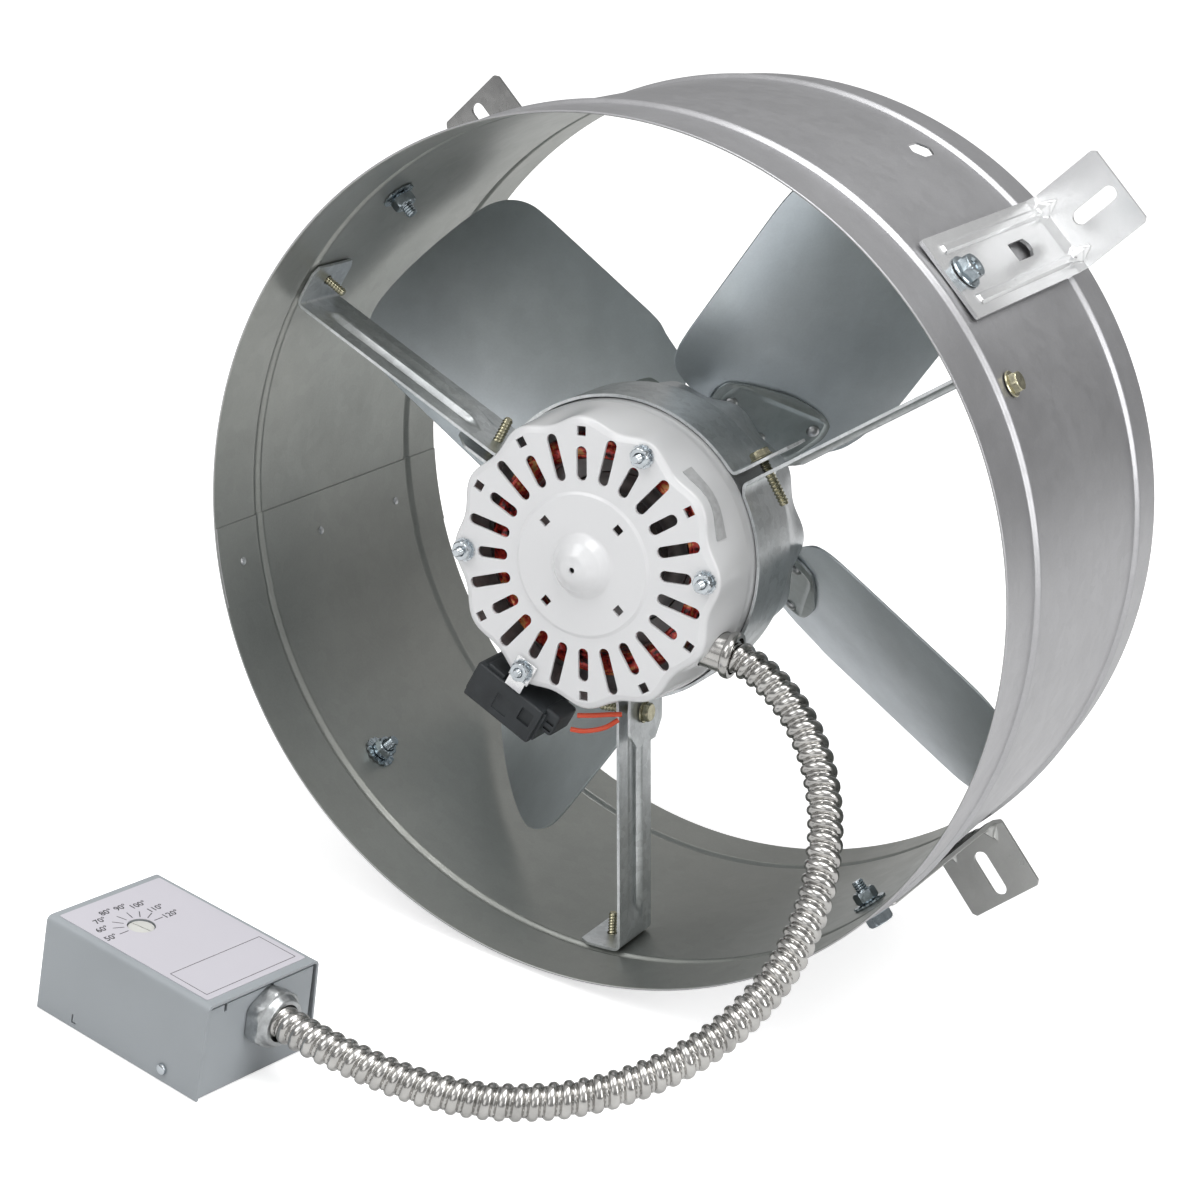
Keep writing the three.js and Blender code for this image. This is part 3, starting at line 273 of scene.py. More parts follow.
def make_materials():
    ring_material()
    # lighter zinc: a painted highlight on the wall bracket at 41 degrees, plain bright zinc on the
    # capacitor strap
    sheet_metal("bright_zinc_and_painted_highlight_sheet", dark=(0.84, 0.845, 0.85), light=(0.93, 0.935, 0.94),
                rough=(0.19, 0.27), cloud=22, spangle=190, spangle_amount=0.012, metal=0.88,
                wavy=0.05, cell_rough=0.015)
    sheet_metal("satin_zinc_sheet", dark=(0.50, 0.505, 0.495), light=(0.60, 0.605, 0.59),
                rough=(0.24, 0.34), cloud=16, spangle=190, spangle_amount=0.02, metal=0.95,
                wavy=0.25)
    # darker zinc: painted shade on the wall bracket at 131 degrees
    sheet_metal("painted_shade_zinc_sheet", dark=(0.22, 0.22, 0.218), light=(0.34, 0.34, 0.335),
                rough=(0.18, 0.28), cloud=30, spangle=230, spangle_amount=0.06, metal=0.97,
                wavy=0.25)
    sheet_metal("galvanised_strip", dark=(0.60, 0.63, 0.64), light=(0.78, 0.80, 0.81),
                rough=(0.28, 0.42), cloud=26, spangle=260, spangle_amount=0.09, fine=1.0)
    sheet_metal("blade_sheet", dark=(0.66, 0.715, 0.755), light=(0.90, 0.95, 1.0),
                rough=(0.29, 0.41), cloud=7.5, spangle=200, spangle_amount=0.012,
                streak=(13, 13, 2.2), metal=0.93, wavy=0.22, cell_rough=0.008)
    sheet_metal("spider_sheet", dark=(0.37, 0.41, 0.41), light=(0.48, 0.51, 0.51),
                rough=(0.3, 0.42), cloud=24, spangle=220, spangle_amount=0.05)
    sheet_metal("motor_shell_zinc", dark=(0.61, 0.635, 0.65), light=(0.78, 0.80, 0.81),
                rough=(0.26, 0.38), cloud=20, spangle=260, spangle_amount=0.06, metal=0.93,
                fine=0.9)
    plain_metal("bright_zinc_plate", (0.56, 0.60, 0.63), rough=0.2, smudge=220)
    plain_metal("blue_zinc_plate", (0.37, 0.42, 0.45), rough=0.17, variation=0.16, smudge=260)
    plain_metal("die_cast_zinc", (0.46, 0.475, 0.48), rough=0.36, variation=0.22, smudge=240,
                grain=420, bump_distance=0.00035)
    plain_metal("yellow_zinc_plate", (0.45, 0.425, 0.30), rough=0.22, variation=0.30,
                smudge=320)
    plain_metal("bare_steel", (0.50, 0.51, 0.52), rough=0.36, variation=0.15, smudge=140)
    plain_metal("sintered_bronze", (0.55, 0.42, 0.24), rough=0.4)
    enamel("white_enamel", (0.74, 0.745, 0.755), rough=0.2, coat=0.5, variation=0.012)
    enamel("box_paint", (0.33, 0.355, 0.375), rough=0.42, orange=1500, variation=0.05,
           smudge=16, bump_distance=0.00008)
    enamel("black_moulding", (0.022, 0.026, 0.029), rough=0.5, orange=700, variation=0.25,
           smudge=90, bump_distance=0.00012)
    enamel("phenolic", (0.16, 0.14, 0.09), rough=0.5, orange=700, variation=0.1)
    enamel("dial_plastic", (0.62, 0.62, 0.59), rough=0.3, coat=0.2, variation=0.02)
    enamel("wire_insulation", (0.72, 0.085, 0.03), rough=0.35, coat=0.1, variation=0.08)
    enamel("label_film", (0.56, 0.545, 0.59), rough=0.5, orange=2500, variation=0.015, smudge=9,
           bump_distance=0.00001)
    enamel("dial_print", (0.05, 0.05, 0.055), rough=0.6, orange=2500, variation=0.2)
    enamel("rating_strip", (0.47, 0.475, 0.48), rough=0.35, orange=2500, variation=0.10,
           smudge=420)
    conduit_material()
    winding_material()
    core_material()


# ------------------------------------------------------------------ matrices
def move(x, y, z):
    matrix = np.eye(4)
    matrix[:3, 3] = (x, y, z)
    return matrix


def basis(at, x_axis, y_axis, z_axis):
    matrix = np.eye(4)
    matrix[:3] = np.column_stack([x_axis, y_axis, z_axis, at])
    return matrix


def turn_y(degrees):
    """Turn about Y from +X towards +Z"""
    c, s = math.cos(degrees * DEG), math.sin(degrees * DEG)
    return basis((0, 0, 0), (c, 0, s), (0, 1, 0), (-s, 0, c))


def turn_z(degrees):
    c, s = math.cos(degrees * DEG), math.sin(degrees * DEG)
    return basis((0, 0, 0), (c, s, 0), (-s, c, 0), (0, 0, 1))


def radial(degrees, y=0.0):
    """Frame on the fan axis whose z points outwards at an angle"""
    c, s = math.cos(degrees * DEG), math.sin(degrees * DEG)
    return basis((0, y, 0), (s, 0, -c), (0, 1, 0), (c, 0, s))


FLIP = np.diag([1.0, -1.0, -1.0, 1.0])  # half a turn about x
# world metres from millimetres about the fan axis, level and with the fan's own turn
LEVEL = np.diag([0.001, 0.001, 0.001, 1.0]) @ move(0.0, -1.0, AXIS_HEIGHT)
FAN = LEVEL @ turn_y(10)
BOX = LEVEL @ move(-84, -154.3, -AXIS_HEIGHT) @ turn_z(-8.8)


def apply(matrix, points):
    return np.asarray(points, float) @ matrix[:3, :3].T + matrix[:3, 3]


def unit(vector):
    return vector / np.linalg.norm(vector)


# ------------------------------------------------------------------ outlines
def fillet(points, radius, steps=5, closed=False):
    """Polyline with rounded corners; radius is one number or one per point"""
    points = [np.asarray(point, float) for point in points]
    count = len(points)
    radii = np.broadcast_to(radius, count)
    curve = []
    for i, corner in enumerate(points):
        if (not closed and i in (0, count - 1)) or radii[i] <= 0:
            curve.append(corner)
            continue
        back, ahead = points[i - 1] - corner, points[(i + 1) % count] - corner
        back_length, ahead_length = np.linalg.norm(back), np.linalg.norm(ahead)
        back, ahead = back / back_length, ahead / ahead_length
        angle = math.acos(max(-1, min(1, back @ ahead)))
        if angle > math.pi - 0.02:
            curve.append(corner)
            continue
        reach = min(radii[i] / math.tan(angle / 2), 0.49 * back_length, 0.49 * ahead_length)
        start, end = corner + back * reach, corner + ahead * reach
        for k in range(steps + 1):
            w = k / steps
            curve.append((1 - w) ** 2 * start + 2 * w * (1 - w) * corner + w * w * end)
    return np.array(curve)


def rounded(stations, steps):
    """Fillet an open line of stations, each (first, second, corner radius)"""
    table = np.array(stations, float)
    return fillet(table[:, :2], table[:, 2], steps)


def circle(radius, count, x=0.0, y=0.0):
    angle = 2 * math.pi * np.arange(count) / count
    return np.stack([x + radius * np.cos(angle), y + radius * np.sin(angle)], 1)


def hexagon(flats, corner=math.inf, count=48):
    """Hexagon by its width across flats; corner caps the radius, in half widths"""
    angle = 2 * math.pi * np.arange(count) / count
    from_flat = (angle + math.pi / 6) % (math.pi / 3) - math.pi / 6
    radius = np.minimum(flats / 2 / np.cos(from_flat), flats / 2 * corner)
    return np.stack([radius * np.cos(angle), radius * np.sin(angle)], 1)


def stadium(start, end, half, count=10):
    """Slot along the first axis with round ends"""
    right = np.linspace(-math.pi / 2, math.pi / 2, count)
    left = np.linspace(math.pi / 2, 1.5 * math.pi, count)
    return np.concatenate([
        np.stack([end - half + half * np.cos(right), half * np.sin(right)], 1),
        np.stack([start + half + half * np.cos(left), half * np.sin(left)], 1)])


def rectangle(start, end, half):
    return np.array([[start, -half], [end, -half], [end, half], [start, half]])


def turned(loop, degrees):
    x, y = np.asarray(loop, float).T
    c, s = math.cos(degrees * DEG), math.sin(degrees * DEG)
    return np.stack([x * c - y * s, x * s + y * c], 1)


def densify(points, step):
    """Polyline with extra points so that none are further apart than step"""
    points = np.asarray(points, float)
    dense = [points[0]]
    for start, end in zip(points[:-1], points[1:]):
        count = max(1, int(math.ceil(np.linalg.norm(end - start) / step)))
        dense += [start + (end - start) * i / count for i in range(1, count + 1)]
    return np.array(dense)


def path_lengths(path):
    """Distance along a path at each of its points"""
    return np.r_[0, np.cumsum(np.linalg.norm(np.diff(path, axis=0), axis=1))]


def smooth_step(x, start, end):
    t = min(1.0, max(0.0, (x - start) / (end - start)))
    return t * t * (3 - 2 * t)


def smooth_table(table, x):
    """Monotone cubic through a table of (x, value)"""
    knots, values = np.array(table, float).T
    gaps = np.diff(knots)
    slopes = np.diff(values) / gaps
    inner = [0 if a * b <= 0 else 2 * a * b / (a + b) for a, b in zip(slopes[:-1], slopes[1:])]
    tangents = np.r_[slopes[0], inner, slopes[-1]]
    i = np.clip(np.searchsorted(knots, x) - 1, 0, len(gaps) - 1)
    t = (x - knots[i]) / gaps[i]
    return ((2 * t ** 3 - 3 * t ** 2 + 1) * values[i]
            + (t ** 3 - 2 * t ** 2 + t) * gaps[i] * tangents[i]
            + (-2 * t ** 3 + 3 * t ** 2) * values[i + 1]
            + (t ** 3 - t ** 2) * gaps[i] * tangents[i + 1])


# ------------------------------------------------------------------ shapes: (points, faces)
def grid(rows, closed_rows=False, closed_columns=False):
    """Faces between neighbours in an array of points (rows, columns, 3)"""
    rows = np.asarray(rows, float)
    count, width = rows.shape[:2]
    faces = []
    for i in range(count if closed_rows else count - 1):
        here, after = i * width, (i + 1) % count * width
        for j in range(width if closed_columns else width - 1):
            k = (j + 1) % width
            faces.append((here + j, here + k, after + k, after + j))
    return rows.reshape(-1, 3), faces


def capped(loops):
    """Closed loops joined one after the other, with both ends capped"""
    count, width = np.asarray(loops).shape[:2]
    points, faces = grid(loops, False, True)
    faces.append(tuple(range(width - 1, -1, -1)))
    faces.append(tuple((count - 1) * width + j for j in range(width)))
    return points, faces


def skin(lower, upper):
    """Thin solid between two equal grids of points"""
    points, faces = grid(lower)
    count, width = lower.shape[:2]
    top = len(points)
    both = []
    for a, b, c, d in faces:
        both += [(a, b, c, d), (a + top, d + top, c + top, b + top)]
    for i in range(count - 1):
        for a in (i * width, (i + 1) * width - 1):
            both.append((a, a + width, a + width + top, a + top))
    for j in range(width - 1):
        for a in (j, (count - 1) * width + j):
            both.append((a, a + 1, a + 1 + top, a + top))
    return np.concatenate([points, upper.reshape(-1, 3)]), both


def meridian(profile, angle):
    """A (radius, y) profile stood up at an angle in radians"""
    radius, y = np.asarray(profile, float).T
    return np.stack([radius * math.cos(angle), y, radius * math.sin(angle)], 1)


def revolve(profile, count, shape=None, closed=True):
    """Profile of (radius, y) turned about Y; shape alters the radius by y and angle"""
    radius, y = np.asarray(profile, float).T
    rows = []
    for i in range(count):
        angle = 2 * math.pi * i / count
        reach = shape(radius, y, angle) if shape else radius
        rows.append(meridian(np.column_stack([reach, y]), angle))
    return grid(rows, True, closed)


def revolve_core(profile, count, shape=None):
    """Revolve an open profile that starts and ends by the axis, and cap both ends"""
    width = len(profile)
    points, faces = revolve(profile, count, shape, closed=False)
    faces.append(tuple(i * width for i in range(count)))
    faces.append(tuple(i * width + width - 1 for i in range(count))[::-1])
    return points, faces


def level(loop, value, axis="z"):
    """Flat loop as points in space, at one value along the axis"""
    return np.insert(np.asarray(loop, float), "xyz".index(axis), value, axis=1)


def prism(loop, start, end, axis="z"):
    return capped([level(loop, value, axis) for value in (start, end)])


def stack(rows, count=48, closed=False):
    """Rows of (loop or radius, z); closed joins the last row to the first"""
    loops = [level(circle(loop, count) if np.isscalar(loop) else loop, z) for loop, z in rows]
    return grid(loops, True, True) if closed else capped(loops)


def rounded_box(x_span, y_span, z_span, radius, segments):
    spans = [sorted(span) for span in (x_span, y_span, z_span)]
    bm = bmesh.new()
    bmesh.ops.create_cube(bm, size=1)
    for vert in bm.verts:
        vert.co = Vector([low if c < 0 else high for c, (low, high) in zip(vert.co, spans)])
    bmesh.ops.bevel(bm, geom=list(bm.edges), offset=radius, segments=segments, profile=0.6,
                    affect="EDGES")
    points = [tuple(vert.co) for vert in bm.verts]
    faces = [tuple(vert.index for vert in face.verts) for face in bm.faces]
    bm.free()
    return points, faces


def bent_sheet(path, across, thickness, lift):
    """Bent strip with its points as (path first, path second, across).

    across(s, total) gives the places over the width, lift(s, v, total) the rise of the sheet,
    at distance s along the path.
    """
    path = np.asarray(path, float)
    tangents = np.gradient(path, axis=0)
    tangents /= np.linalg.norm(tangents, axis=1)[:, None]
    normals = np.column_stack([-tangents[:, 1], tangents[:, 0]])
    lengths = path_lengths(path)
    total = lengths[-1]
    sides = []
    for offset in (-thickness / 2, thickness / 2):
        rows = []
        for point, normal, s in zip(path, normals, lengths):
            places = across(s, total)
            rise = np.array([lift(s, v, total) for v in places]) + offset
            rows.append(np.column_stack([point[0] + normal[0] * rise,
                                         point[1] + normal[1] * rise, places]))
        sides.append(np.array(rows))
    return skin(*sides)


def thread(radius, pitch, start, end, depth, count=24, per_pitch=6):
    """Rod along z with a helical V thread, tapered at its start"""
    rows = []
    steps = max(2, int(round((end - start) / pitch * per_pitch)))
    taper = pitch * 0.8
    angle = 2 * math.pi * np.arange(count) / count
    for i in range(steps + 1):
        z = start + (end - start) * i / steps
        phase = (z / pitch - angle / (2 * math.pi)) % 1.0
        reach = radius - depth * np.abs(2 * phase - 1)
        if z - start < taper:
            reach = np.minimum(reach, radius - depth * (1 - (z - start) / taper) * 1.2)
        rows.append(np.column_stack([reach * np.cos(angle), reach * np.sin(angle),
                                     np.full(count, z)]))
    return capped(rows)


def hex_head(flats, height, flange, flange_radius, hollow=False):
    """Hex head from z = 0 up, with a round flange below and a chamfered top"""
    rows = [(flange_radius - 0.3, 0), (flange_radius, 0.25), (flange_radius, flange * 0.6),
            (flange_radius * 0.93, flange), (hexagon(flats), flange),
            (hexagon(flats), height * 0.80), (hexagon(flats, 1.07), height * 0.93),
            (flats / 2 * 0.97, height)]
    if hollow:
        rows += [(flats / 2 * 0.62, height), (flats / 2 * 0.5, height * 0.82)]
    return stack(rows)


def hex_nut(flats, height, bore):
    return stack([(bore, 0), (flats / 2 * 0.96, 0), (hexagon(flats, 1.08), height * 0.1),
                  (hexagon(flats), height * 0.2), (hexagon(flats), height * 0.8),
                  (hexagon(flats, 1.08), height * 0.92), (flats / 2 * 0.96, height),
                  (bore * 1.2, height), (bore, height * 0.88)], closed=True)


def lock_washer(bore, radius, thickness, teeth):
    """Washer with twisted teeth around its rim"""
    count = teeth * 6
    angle = 2 * math.pi * np.arange(count) / count
    phase = (np.arange(count) % 6) / 6.0
    reach = np.where(phase < 0.55, radius, radius * 0.92)
    twist = np.where(phase < 0.55, (phase / 0.55 - 0.5) * thickness * 0.5, 0)

    def rim(z, amount):
        return np.column_stack([reach * np.cos(angle), reach * np.sin(angle),
                                z + twist * amount])

    inner = [level(circle(bore, count), z) for z in (0, thickness)]
    return grid([inner[0], rim(0, 0.8), rim(thickness, 1), inner[1]], True, True)


def moved(matrix, *shapes):
    """The shapes under one matrix, joined as one shape"""
    points, faces, start = [], [], 0
    for shape_points, shape_faces in shapes:
        points.append(apply(matrix, shape_points))
        faces += [tuple(index + start for index in face) for face in shape_faces]
        start += len(shape_points)
    return np.concatenate(points), faces


# ------------------------------------------------------------------ objects
def new_object(name, data):
    obj = bpy.data.objects.new(name, data)
    bpy.context.scene.collection.objects.link(obj)
    return obj


def smooth(mesh, sharp):
    """Smooth shading with edges above an angle in degrees kept sharp"""
    mesh.polygons.foreach_set("use_smooth", [True] * len(mesh.polygons))
    mesh.set_sharp_from_angle(angle=sharp * DEG)
    mesh.update()


def build(name, material, matrix, *shapes, sharp=32):
    points, faces = moved(matrix, *shapes)
    mesh = bpy.data.meshes.new(name)
    mesh.from_pydata(points.tolist(), [], faces)
    bm = bmesh.new()
    bm.from_mesh(mesh)
    bmesh.ops.remove_doubles(bm, verts=bm.verts, dist=1e-7)
    bmesh.ops.recalc_face_normals(bm, faces=bm.faces)
    bm.to_mesh(mesh)
    bm.free()
    smooth(mesh, sharp)
    mesh.materials.append(MATERIALS[material])
    return new_object(name, mesh)


def baked(obj):
    """New mesh of the object as its modifiers or its text leave it"""
    bpy.context.view_layer.update()
    return bpy.data.meshes.new_from_object(
        obj.evaluated_get(bpy.context.evaluated_depsgraph_get()))


def boolean(obj, *shapes, operation="DIFFERENCE"):
    """Cut or join the shapes, given in world metres, as one tool"""
    tool = build("cutter", "bare_steel", np.eye(4), *shapes)
    modifier = obj.modifiers.new("b", "BOOLEAN")
    modifier.operation = operation
    modifier.solver = "EXACT"
    modifier.object = tool
    mesh = baked(obj)
    obj.modifiers.clear()
    mesh.name = obj.name
    obj.data = mesh
    bpy.data.objects.remove(tool)


def tidy(obj, sharp=30):
    """Clean up the slivers that booleans leave"""
    bm = bmesh.new()
    bm.from_mesh(obj.data)
    bmesh.ops.remove_doubles(bm, verts=bm.verts, dist=2e-6)
    bmesh.ops.dissolve_degenerate(bm, edges=bm.edges, dist=2e-6)
    bm.to_mesh(obj.data)
    bm.free()
    smooth(obj.data, sharp)


def soften(obj, width, angle):
    """Bevel edges above an angle in degrees; the width is in metres"""
    bevel = obj.modifiers.new("edge", "BEVEL")
    bevel.width = width
    bevel.segments = 2
    bevel.limit_method = "ANGLE"
    bevel.angle_limit = angle * DEG


def finish(obj, *nodes, body=ROOT, slot=None):
    """Tell the frame which body carries the object and the nodes it replaces; slot is not used"""
    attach(obj, body)
    if nodes:
        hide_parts(*nodes)


# ------------------------------------------------------------------ housing ring
RING_RADIUS, RING_DEPTH, RING_SHEET, RING_LIP = 200.0, 198.0, 1.0, 0.25
BEADS = (35.0, 170.0)  # y of the two pressed beads
BEAD_HEIGHT, BEAD_HALF = 2.1, 3.3
PLAIN_LEVELS = (0.0, 12, 23, 50, 66, 84, 102, 120, 138, 154, 184, RING_DEPTH)
# the bracket at 41 degrees takes a lighter zinc as a painted highlight, the one at 131 degrees a
# darker zinc as painted shade
BRACKETS = ((41, "bright_zinc_and_painted_highlight_sheet"), (131, "painted_shade_zinc_sheet"),
            (-139, "satin_zinc_sheet"), (-54, "satin_zinc_sheet"))  # angle, material
BRACKET_BOLT_Y = 62.0
# angle, name, foot screw head (flats, height, flange, flange radius), clamp screw end
ARMS = ((150, "left", (8.4, 4.6, 0.9, 6.0), -20), (30, "right", (8.4, 4.6, 0.9, 6.0), -23),
        (-90, "bottom", (8, 2.5, 0.6, 5.2), -23))
ARM_MIDDLE_Y, FOOT_ANGLE, FOOT_HOLE = 51.0, -3.5, 2.5


def beaded(radius):
    """(radius, y) line across the ring, swelling at the beads"""
    levels = set(PLAIN_LEVELS)
    for bead in BEADS:
        levels.update(np.linspace(bead - 4.6, bead + 4.6, 19))
    line = []
    for y in sorted(levels):
        swell = 0.0
        for bead in BEADS:
            u = abs(y - bead) / BEAD_HALF
            if u < 1:
                swell = BEAD_HEIGHT * (1 - u * u) ** 1.8
        line.append((radius + swell, y))
    return line


def build_ring():
    outer, inner = RING_RADIUS, RING_RADIUS - RING_SHEET
    lip, depth = RING_LIP, RING_DEPTH
    profile = [(outer - lip, 0.0), (outer, lip), *beaded(outer)[1:-1], (outer, depth - lip),
               (outer - lip, depth), (inner + lip, depth), (inner, depth - lip),
               *beaded(inner)[-2:0:-1], (inner, lip), (inner + lip, 0.0)]
    ring = build("housing_ring_sheet", "galvanised_sheet", FAN, revolve(profile, 252))

    # the sheet's lapped end, on the inside
    lap = np.array(beaded(199.35) + beaded(198.45)[::-1])
    lap[:, 1] = np.clip(lap[:, 1], 0.4, depth - 0.4)
    rows = [meridian(lap, (-178.125 + 11.25 * i / 8) * DEG) for i in range(9)]
    boolean(ring, moved(FAN, capped(rows)), operation="UNION")

    def hole(degrees, y, loop):
        return moved(FAN @ radial(degrees, y), prism(loop, 192, 207))

    # six-sided openings beside the two upper brackets, then bolt and screw holes
    opening = fillet([[0, -10], [5, -5.5], [5, 5.5], [0, 10], [-5, 5.5], [-5, -5.5]],
                     1.6, 4, True)
    holes = []
    for angle, _ in BRACKETS:
        if angle > 0:
            holes.append(hole(angle + 19.3, 144.0, opening))
        holes.append(hole(angle, BRACKET_BOLT_Y, circle(3.3, 20)))
    for angle, *_ in ARMS:
        holes.append(hole(angle + FOOT_ANGLE, ARM_MIDDLE_Y, circle(FOOT_HOLE, 20)))
    boolean(ring, *holes)
    tidy(ring)
    finish(ring, "housing_ring")

    # rivets along the lap, on both sides of the sheet
    head = stack([(2.1, 0), (2.0, 0.45), (1.5, 0.85), (0.8, 1.02)], 20)
    rivets = []
    for y in (18, 85, 155):
        for side, radius, turn in ((1, outer, np.eye(4)), (-1, 198.5, FLIP)):
            place = radial(-172.4, y) @ move(0, 0, radius - 0.05 * side) @ turn
            rivets.append(moved(place, head))
    finish(build("lap_seam_rivets", "bare_steel", FAN, *rivets))


# ------------------------------------------------------------------ wall brackets
BRACKET_HALF, BRACKET_SHEET, BRACKET_RIB = 20.5, 1.8, 13.0
BRACKET_BEND = 129.5  # distance along the strip where it bends outwards


def bracket_strip():
    # y, radius, corner radius
    path = densify(rounded([(46, 201.35, 0), (120, 202.9, 60), (168.5, 204.0, 6),
                            (176.9, 206.4, 1.6), (176.9, 242.5, 0)], 7), 1.1)
    near_ribs = [side * (BRACKET_RIB + k * 0.45) for side in (-1, 1) for k in range(-10, 11)]
    places = sorted(set([-BRACKET_HALF, BRACKET_HALF, 0, -4, 4, -8, 8] + near_ribs))
    places = np.array(places) / BRACKET_HALF

    def across(s, total):
        half = BRACKET_HALF
        if s < 1.2:
            half -= 1.0 * (1 - s / 1.2)
        if total - s < 2.0:
            half -= 1.8 * (1 - (total - s) / 2.0)
        return places * half

    def lift(s, v, total):
        aside = abs(abs(v) - BRACKET_RIB)
        ends = smooth_step(s, 10, 12) * (1 - smooth_step(s, 126, 130))
        rib = 1.5 * ends * min(1.0, max(0.0, (2.5 - aside) / 1.1))
        # where the rib crosses the bend it stands up as a three-sided gusset
        gusset = 5.2 * max(0.0, 1 - abs(s - BRACKET_BEND) / 9.0 - aside / 4.6)
        return max(rib, gusset)

    points, faces = bent_sheet(path, across, BRACKET_SHEET, lift)
    return points[:, [2, 0, 1]], faces


def build_brackets():
    strip = bracket_strip()
    slot = stadium(214.5, 239, 3.6)[:, ::-1]
    opening = fillet([[-4.6, 119.0], [4.6, 119.0], [4.6, 136.5], [1.5, 140.5], [-1.5, 140.5],
                      [-4.6, 137.5]], 1.1, 4, True)
    for i, (angle, material) in enumerate(BRACKETS, 1):
        place = FAN @ radial(angle)
        bracket = build(f"wall_bracket_sheet_{i}", material, place, strip)
        boolean(bracket, moved(place, prism(slot, 168, 186, "y"), prism(opening, 196, 212)))
        tidy(bracket, 34)
        finish(bracket, f"wall_bracket_{i}")
        # flanged head outside the ring, nut and threaded end inside
        at_bolt = FAN @ radial(angle, BRACKET_BOLT_Y)
        finish(build(f"bracket_bolt_threaded_{i}", "blue_zinc_plate", at_bolt,
                     moved(move(0, 0, 202.95), hex_head(11, 6.2, 1.3, 8.0, hollow=True)),
                     moved(move(0, 0, 202.9), thread(3.0, 1.25, -16.3, 0.4, depth=0.55)),
                     sharp=28), f"bracket_bolt_{i}")
        finish(build(f"bracket_nut_serrated_{i}", "blue_zinc_plate",
                     at_bolt @ move(0, 0, 198.6) @ FLIP,
                     moved(move(0, 0, 0.1), lock_washer(3.4, 8.2, 0.9, 14)),
                     moved(move(0, 0, 1.25), hex_nut(10, 5.8, 3.1)), sharp=28),
               f"bracket_nut_{i}")


# ------------------------------------------------------------------ motor arms
ARM_START_Y, ARM_END_Y, ARM_SHEET = 35.0, 67.0, 1.4
CHANNEL_HALF, CHANNEL_HEIGHT = 7.2, 3.0
BAND_RADIUS = 70.7


def polar(radius, degrees):
    return [radius * math.cos(degrees * DEG), radius * math.sin(degrees * DEG)]


def arm_path():
    """(x, z) line of one arm: foot on the ring, straight run, band round the motor, tail"""
    c, s = math.cos(-120 * DEG), math.sin(-120 * DEG)

    def on_next_arm(x, z):
        return [x * c - z * s, x * s + z * c]

    foot = [polar(197.6, d) for d in np.arange(-6.2, -1.99, 0.6)]
    run = fillet(foot + [[197.55, 0.0], [190.0, 0.0], [78.0, 0.0]],
                 [0] * len(foot) + [3.6, 0, 0], 8)
    band = [polar(BAND_RADIUS, -3.6 - 108.9 * i / 46) for i in range(47)]
    bend = fillet([[78.0, 0.0], [73.0, -0.1], band[0]], [0, 3.0, 0], 5)
    tail = fillet([band[-1], on_next_arm(70.9, 6.3), on_next_arm(76.5, 6.0),
                   on_next_arm(97, 6.0)], [0, 2.2, 0, 0], 6)
    path = np.concatenate([densify(run, 4.0)[:-1], bend[:-1], np.array(band), tail[1:-1],
                           densify(tail[-2:], 2.0)[1:]])
    apart = np.linalg.norm(np.diff(path, axis=0), axis=1) > 1e-3
    return path[np.r_[True, apart]]


def arm_strip():
    path = arm_path()
    lengths = path_lengths(path)
    straight = (np.abs(path[:, 1]) < 0.3) & (path[:, 0] > 74)
    # distances along the strip between which the channel runs
    channel_start, channel_end = (
        float(np.interp(-x, -path[straight][:, 0], lengths[straight])) for x in (188.0, 90.0))
    places = np.array(sorted(set([0, 0.06, 0.14, 0.2, 0.26]
                                 + [0.5 + k * 0.033 for k in range(-8, 9)]
                                 + [0.74, 0.8, 0.86, 0.94, 1.0])))

    def across(s, total):
        start, end = ARM_START_Y, ARM_END_Y
        if total - s < 8:
            inset = (1 - (total - s) / 8) * 7.0
            start += inset * 0.95
            end -= inset * 0.95
        if s < 4:
            inset = (1 - s / 4) * 2.5
            start += inset
            end -= inset
        return start + (end - start) * places

    def lift(s, v, total):
        depth = CHANNEL_HALF - abs(v - ARM_MIDDLE_Y)
        ends = (smooth_step(s, channel_start, channel_start + 7)
                * (1 - smooth_step(s, channel_end - 7, channel_end)))
        if depth < 0 or ends <= 0:
            return 0.0
        # a pressed channel with a firm rounded edge and a slightly hollow floor
        edge = smooth_step(depth, 0, 2.6)
        return CHANNEL_HEIGHT * ends * edge * (1 - 0.16 * smooth_step(depth, 2.6, 7.0))

    points, faces = bent_sheet(path, across, ARM_SHEET, lift)
    return points[:, [0, 2, 1]], faces


def build_arms():
    strip = arm_strip()
    for i, (angle, name, foot_head, clamp_end) in enumerate(ARMS, 1):
        place = FAN @ turn_y(angle)
        arm = build("motor_arm_sheet_" + name, "galvanised_strip", place, strip, sharp=30)
        boolean(arm, moved(place @ radial(FOOT_ANGLE, ARM_MIDDLE_Y),
                           prism(circle(FOOT_HOLE, 20), 190, 203)))
        tidy(arm)
        finish(arm, "motor_arm_" + name)
        finish(build(f"arm_foot_screw_threaded_{i}", "yellow_zinc_plate",
                     FAN @ radial(angle + FOOT_ANGLE, ARM_MIDDLE_Y),
                     moved(move(0, 0, 200.45), hex_head(*foot_head)),
                     moved(move(0, 0, 200.4), thread(2.2, 1.5, -14.2, 0.3, depth=0.6)),
                     sharp=28), f"arm_foot_screw_{i}")
        finish(build(f"arm_clamp_screw_threaded_{i}", "yellow_zinc_plate",
                     place @ move(80.5, 47.5, 7.05),
                     moved(move(0, 0, 0.05), hex_head(8, 4.0, 0.9, 5.4)),
                     thread(2.5, 1.7, clamp_end, 0.3, depth=0.7), sharp=28),
               f"arm_clamp_screw_{i}")


# ------------------------------------------------------------------ motor
THROUGH_BOLTS = (60, 0, -120, 180)  # angles
BOLT_CIRCLE = 61.0
FRONT_FACE_Y, REAR_FACE_Y = 2.0, 96.0
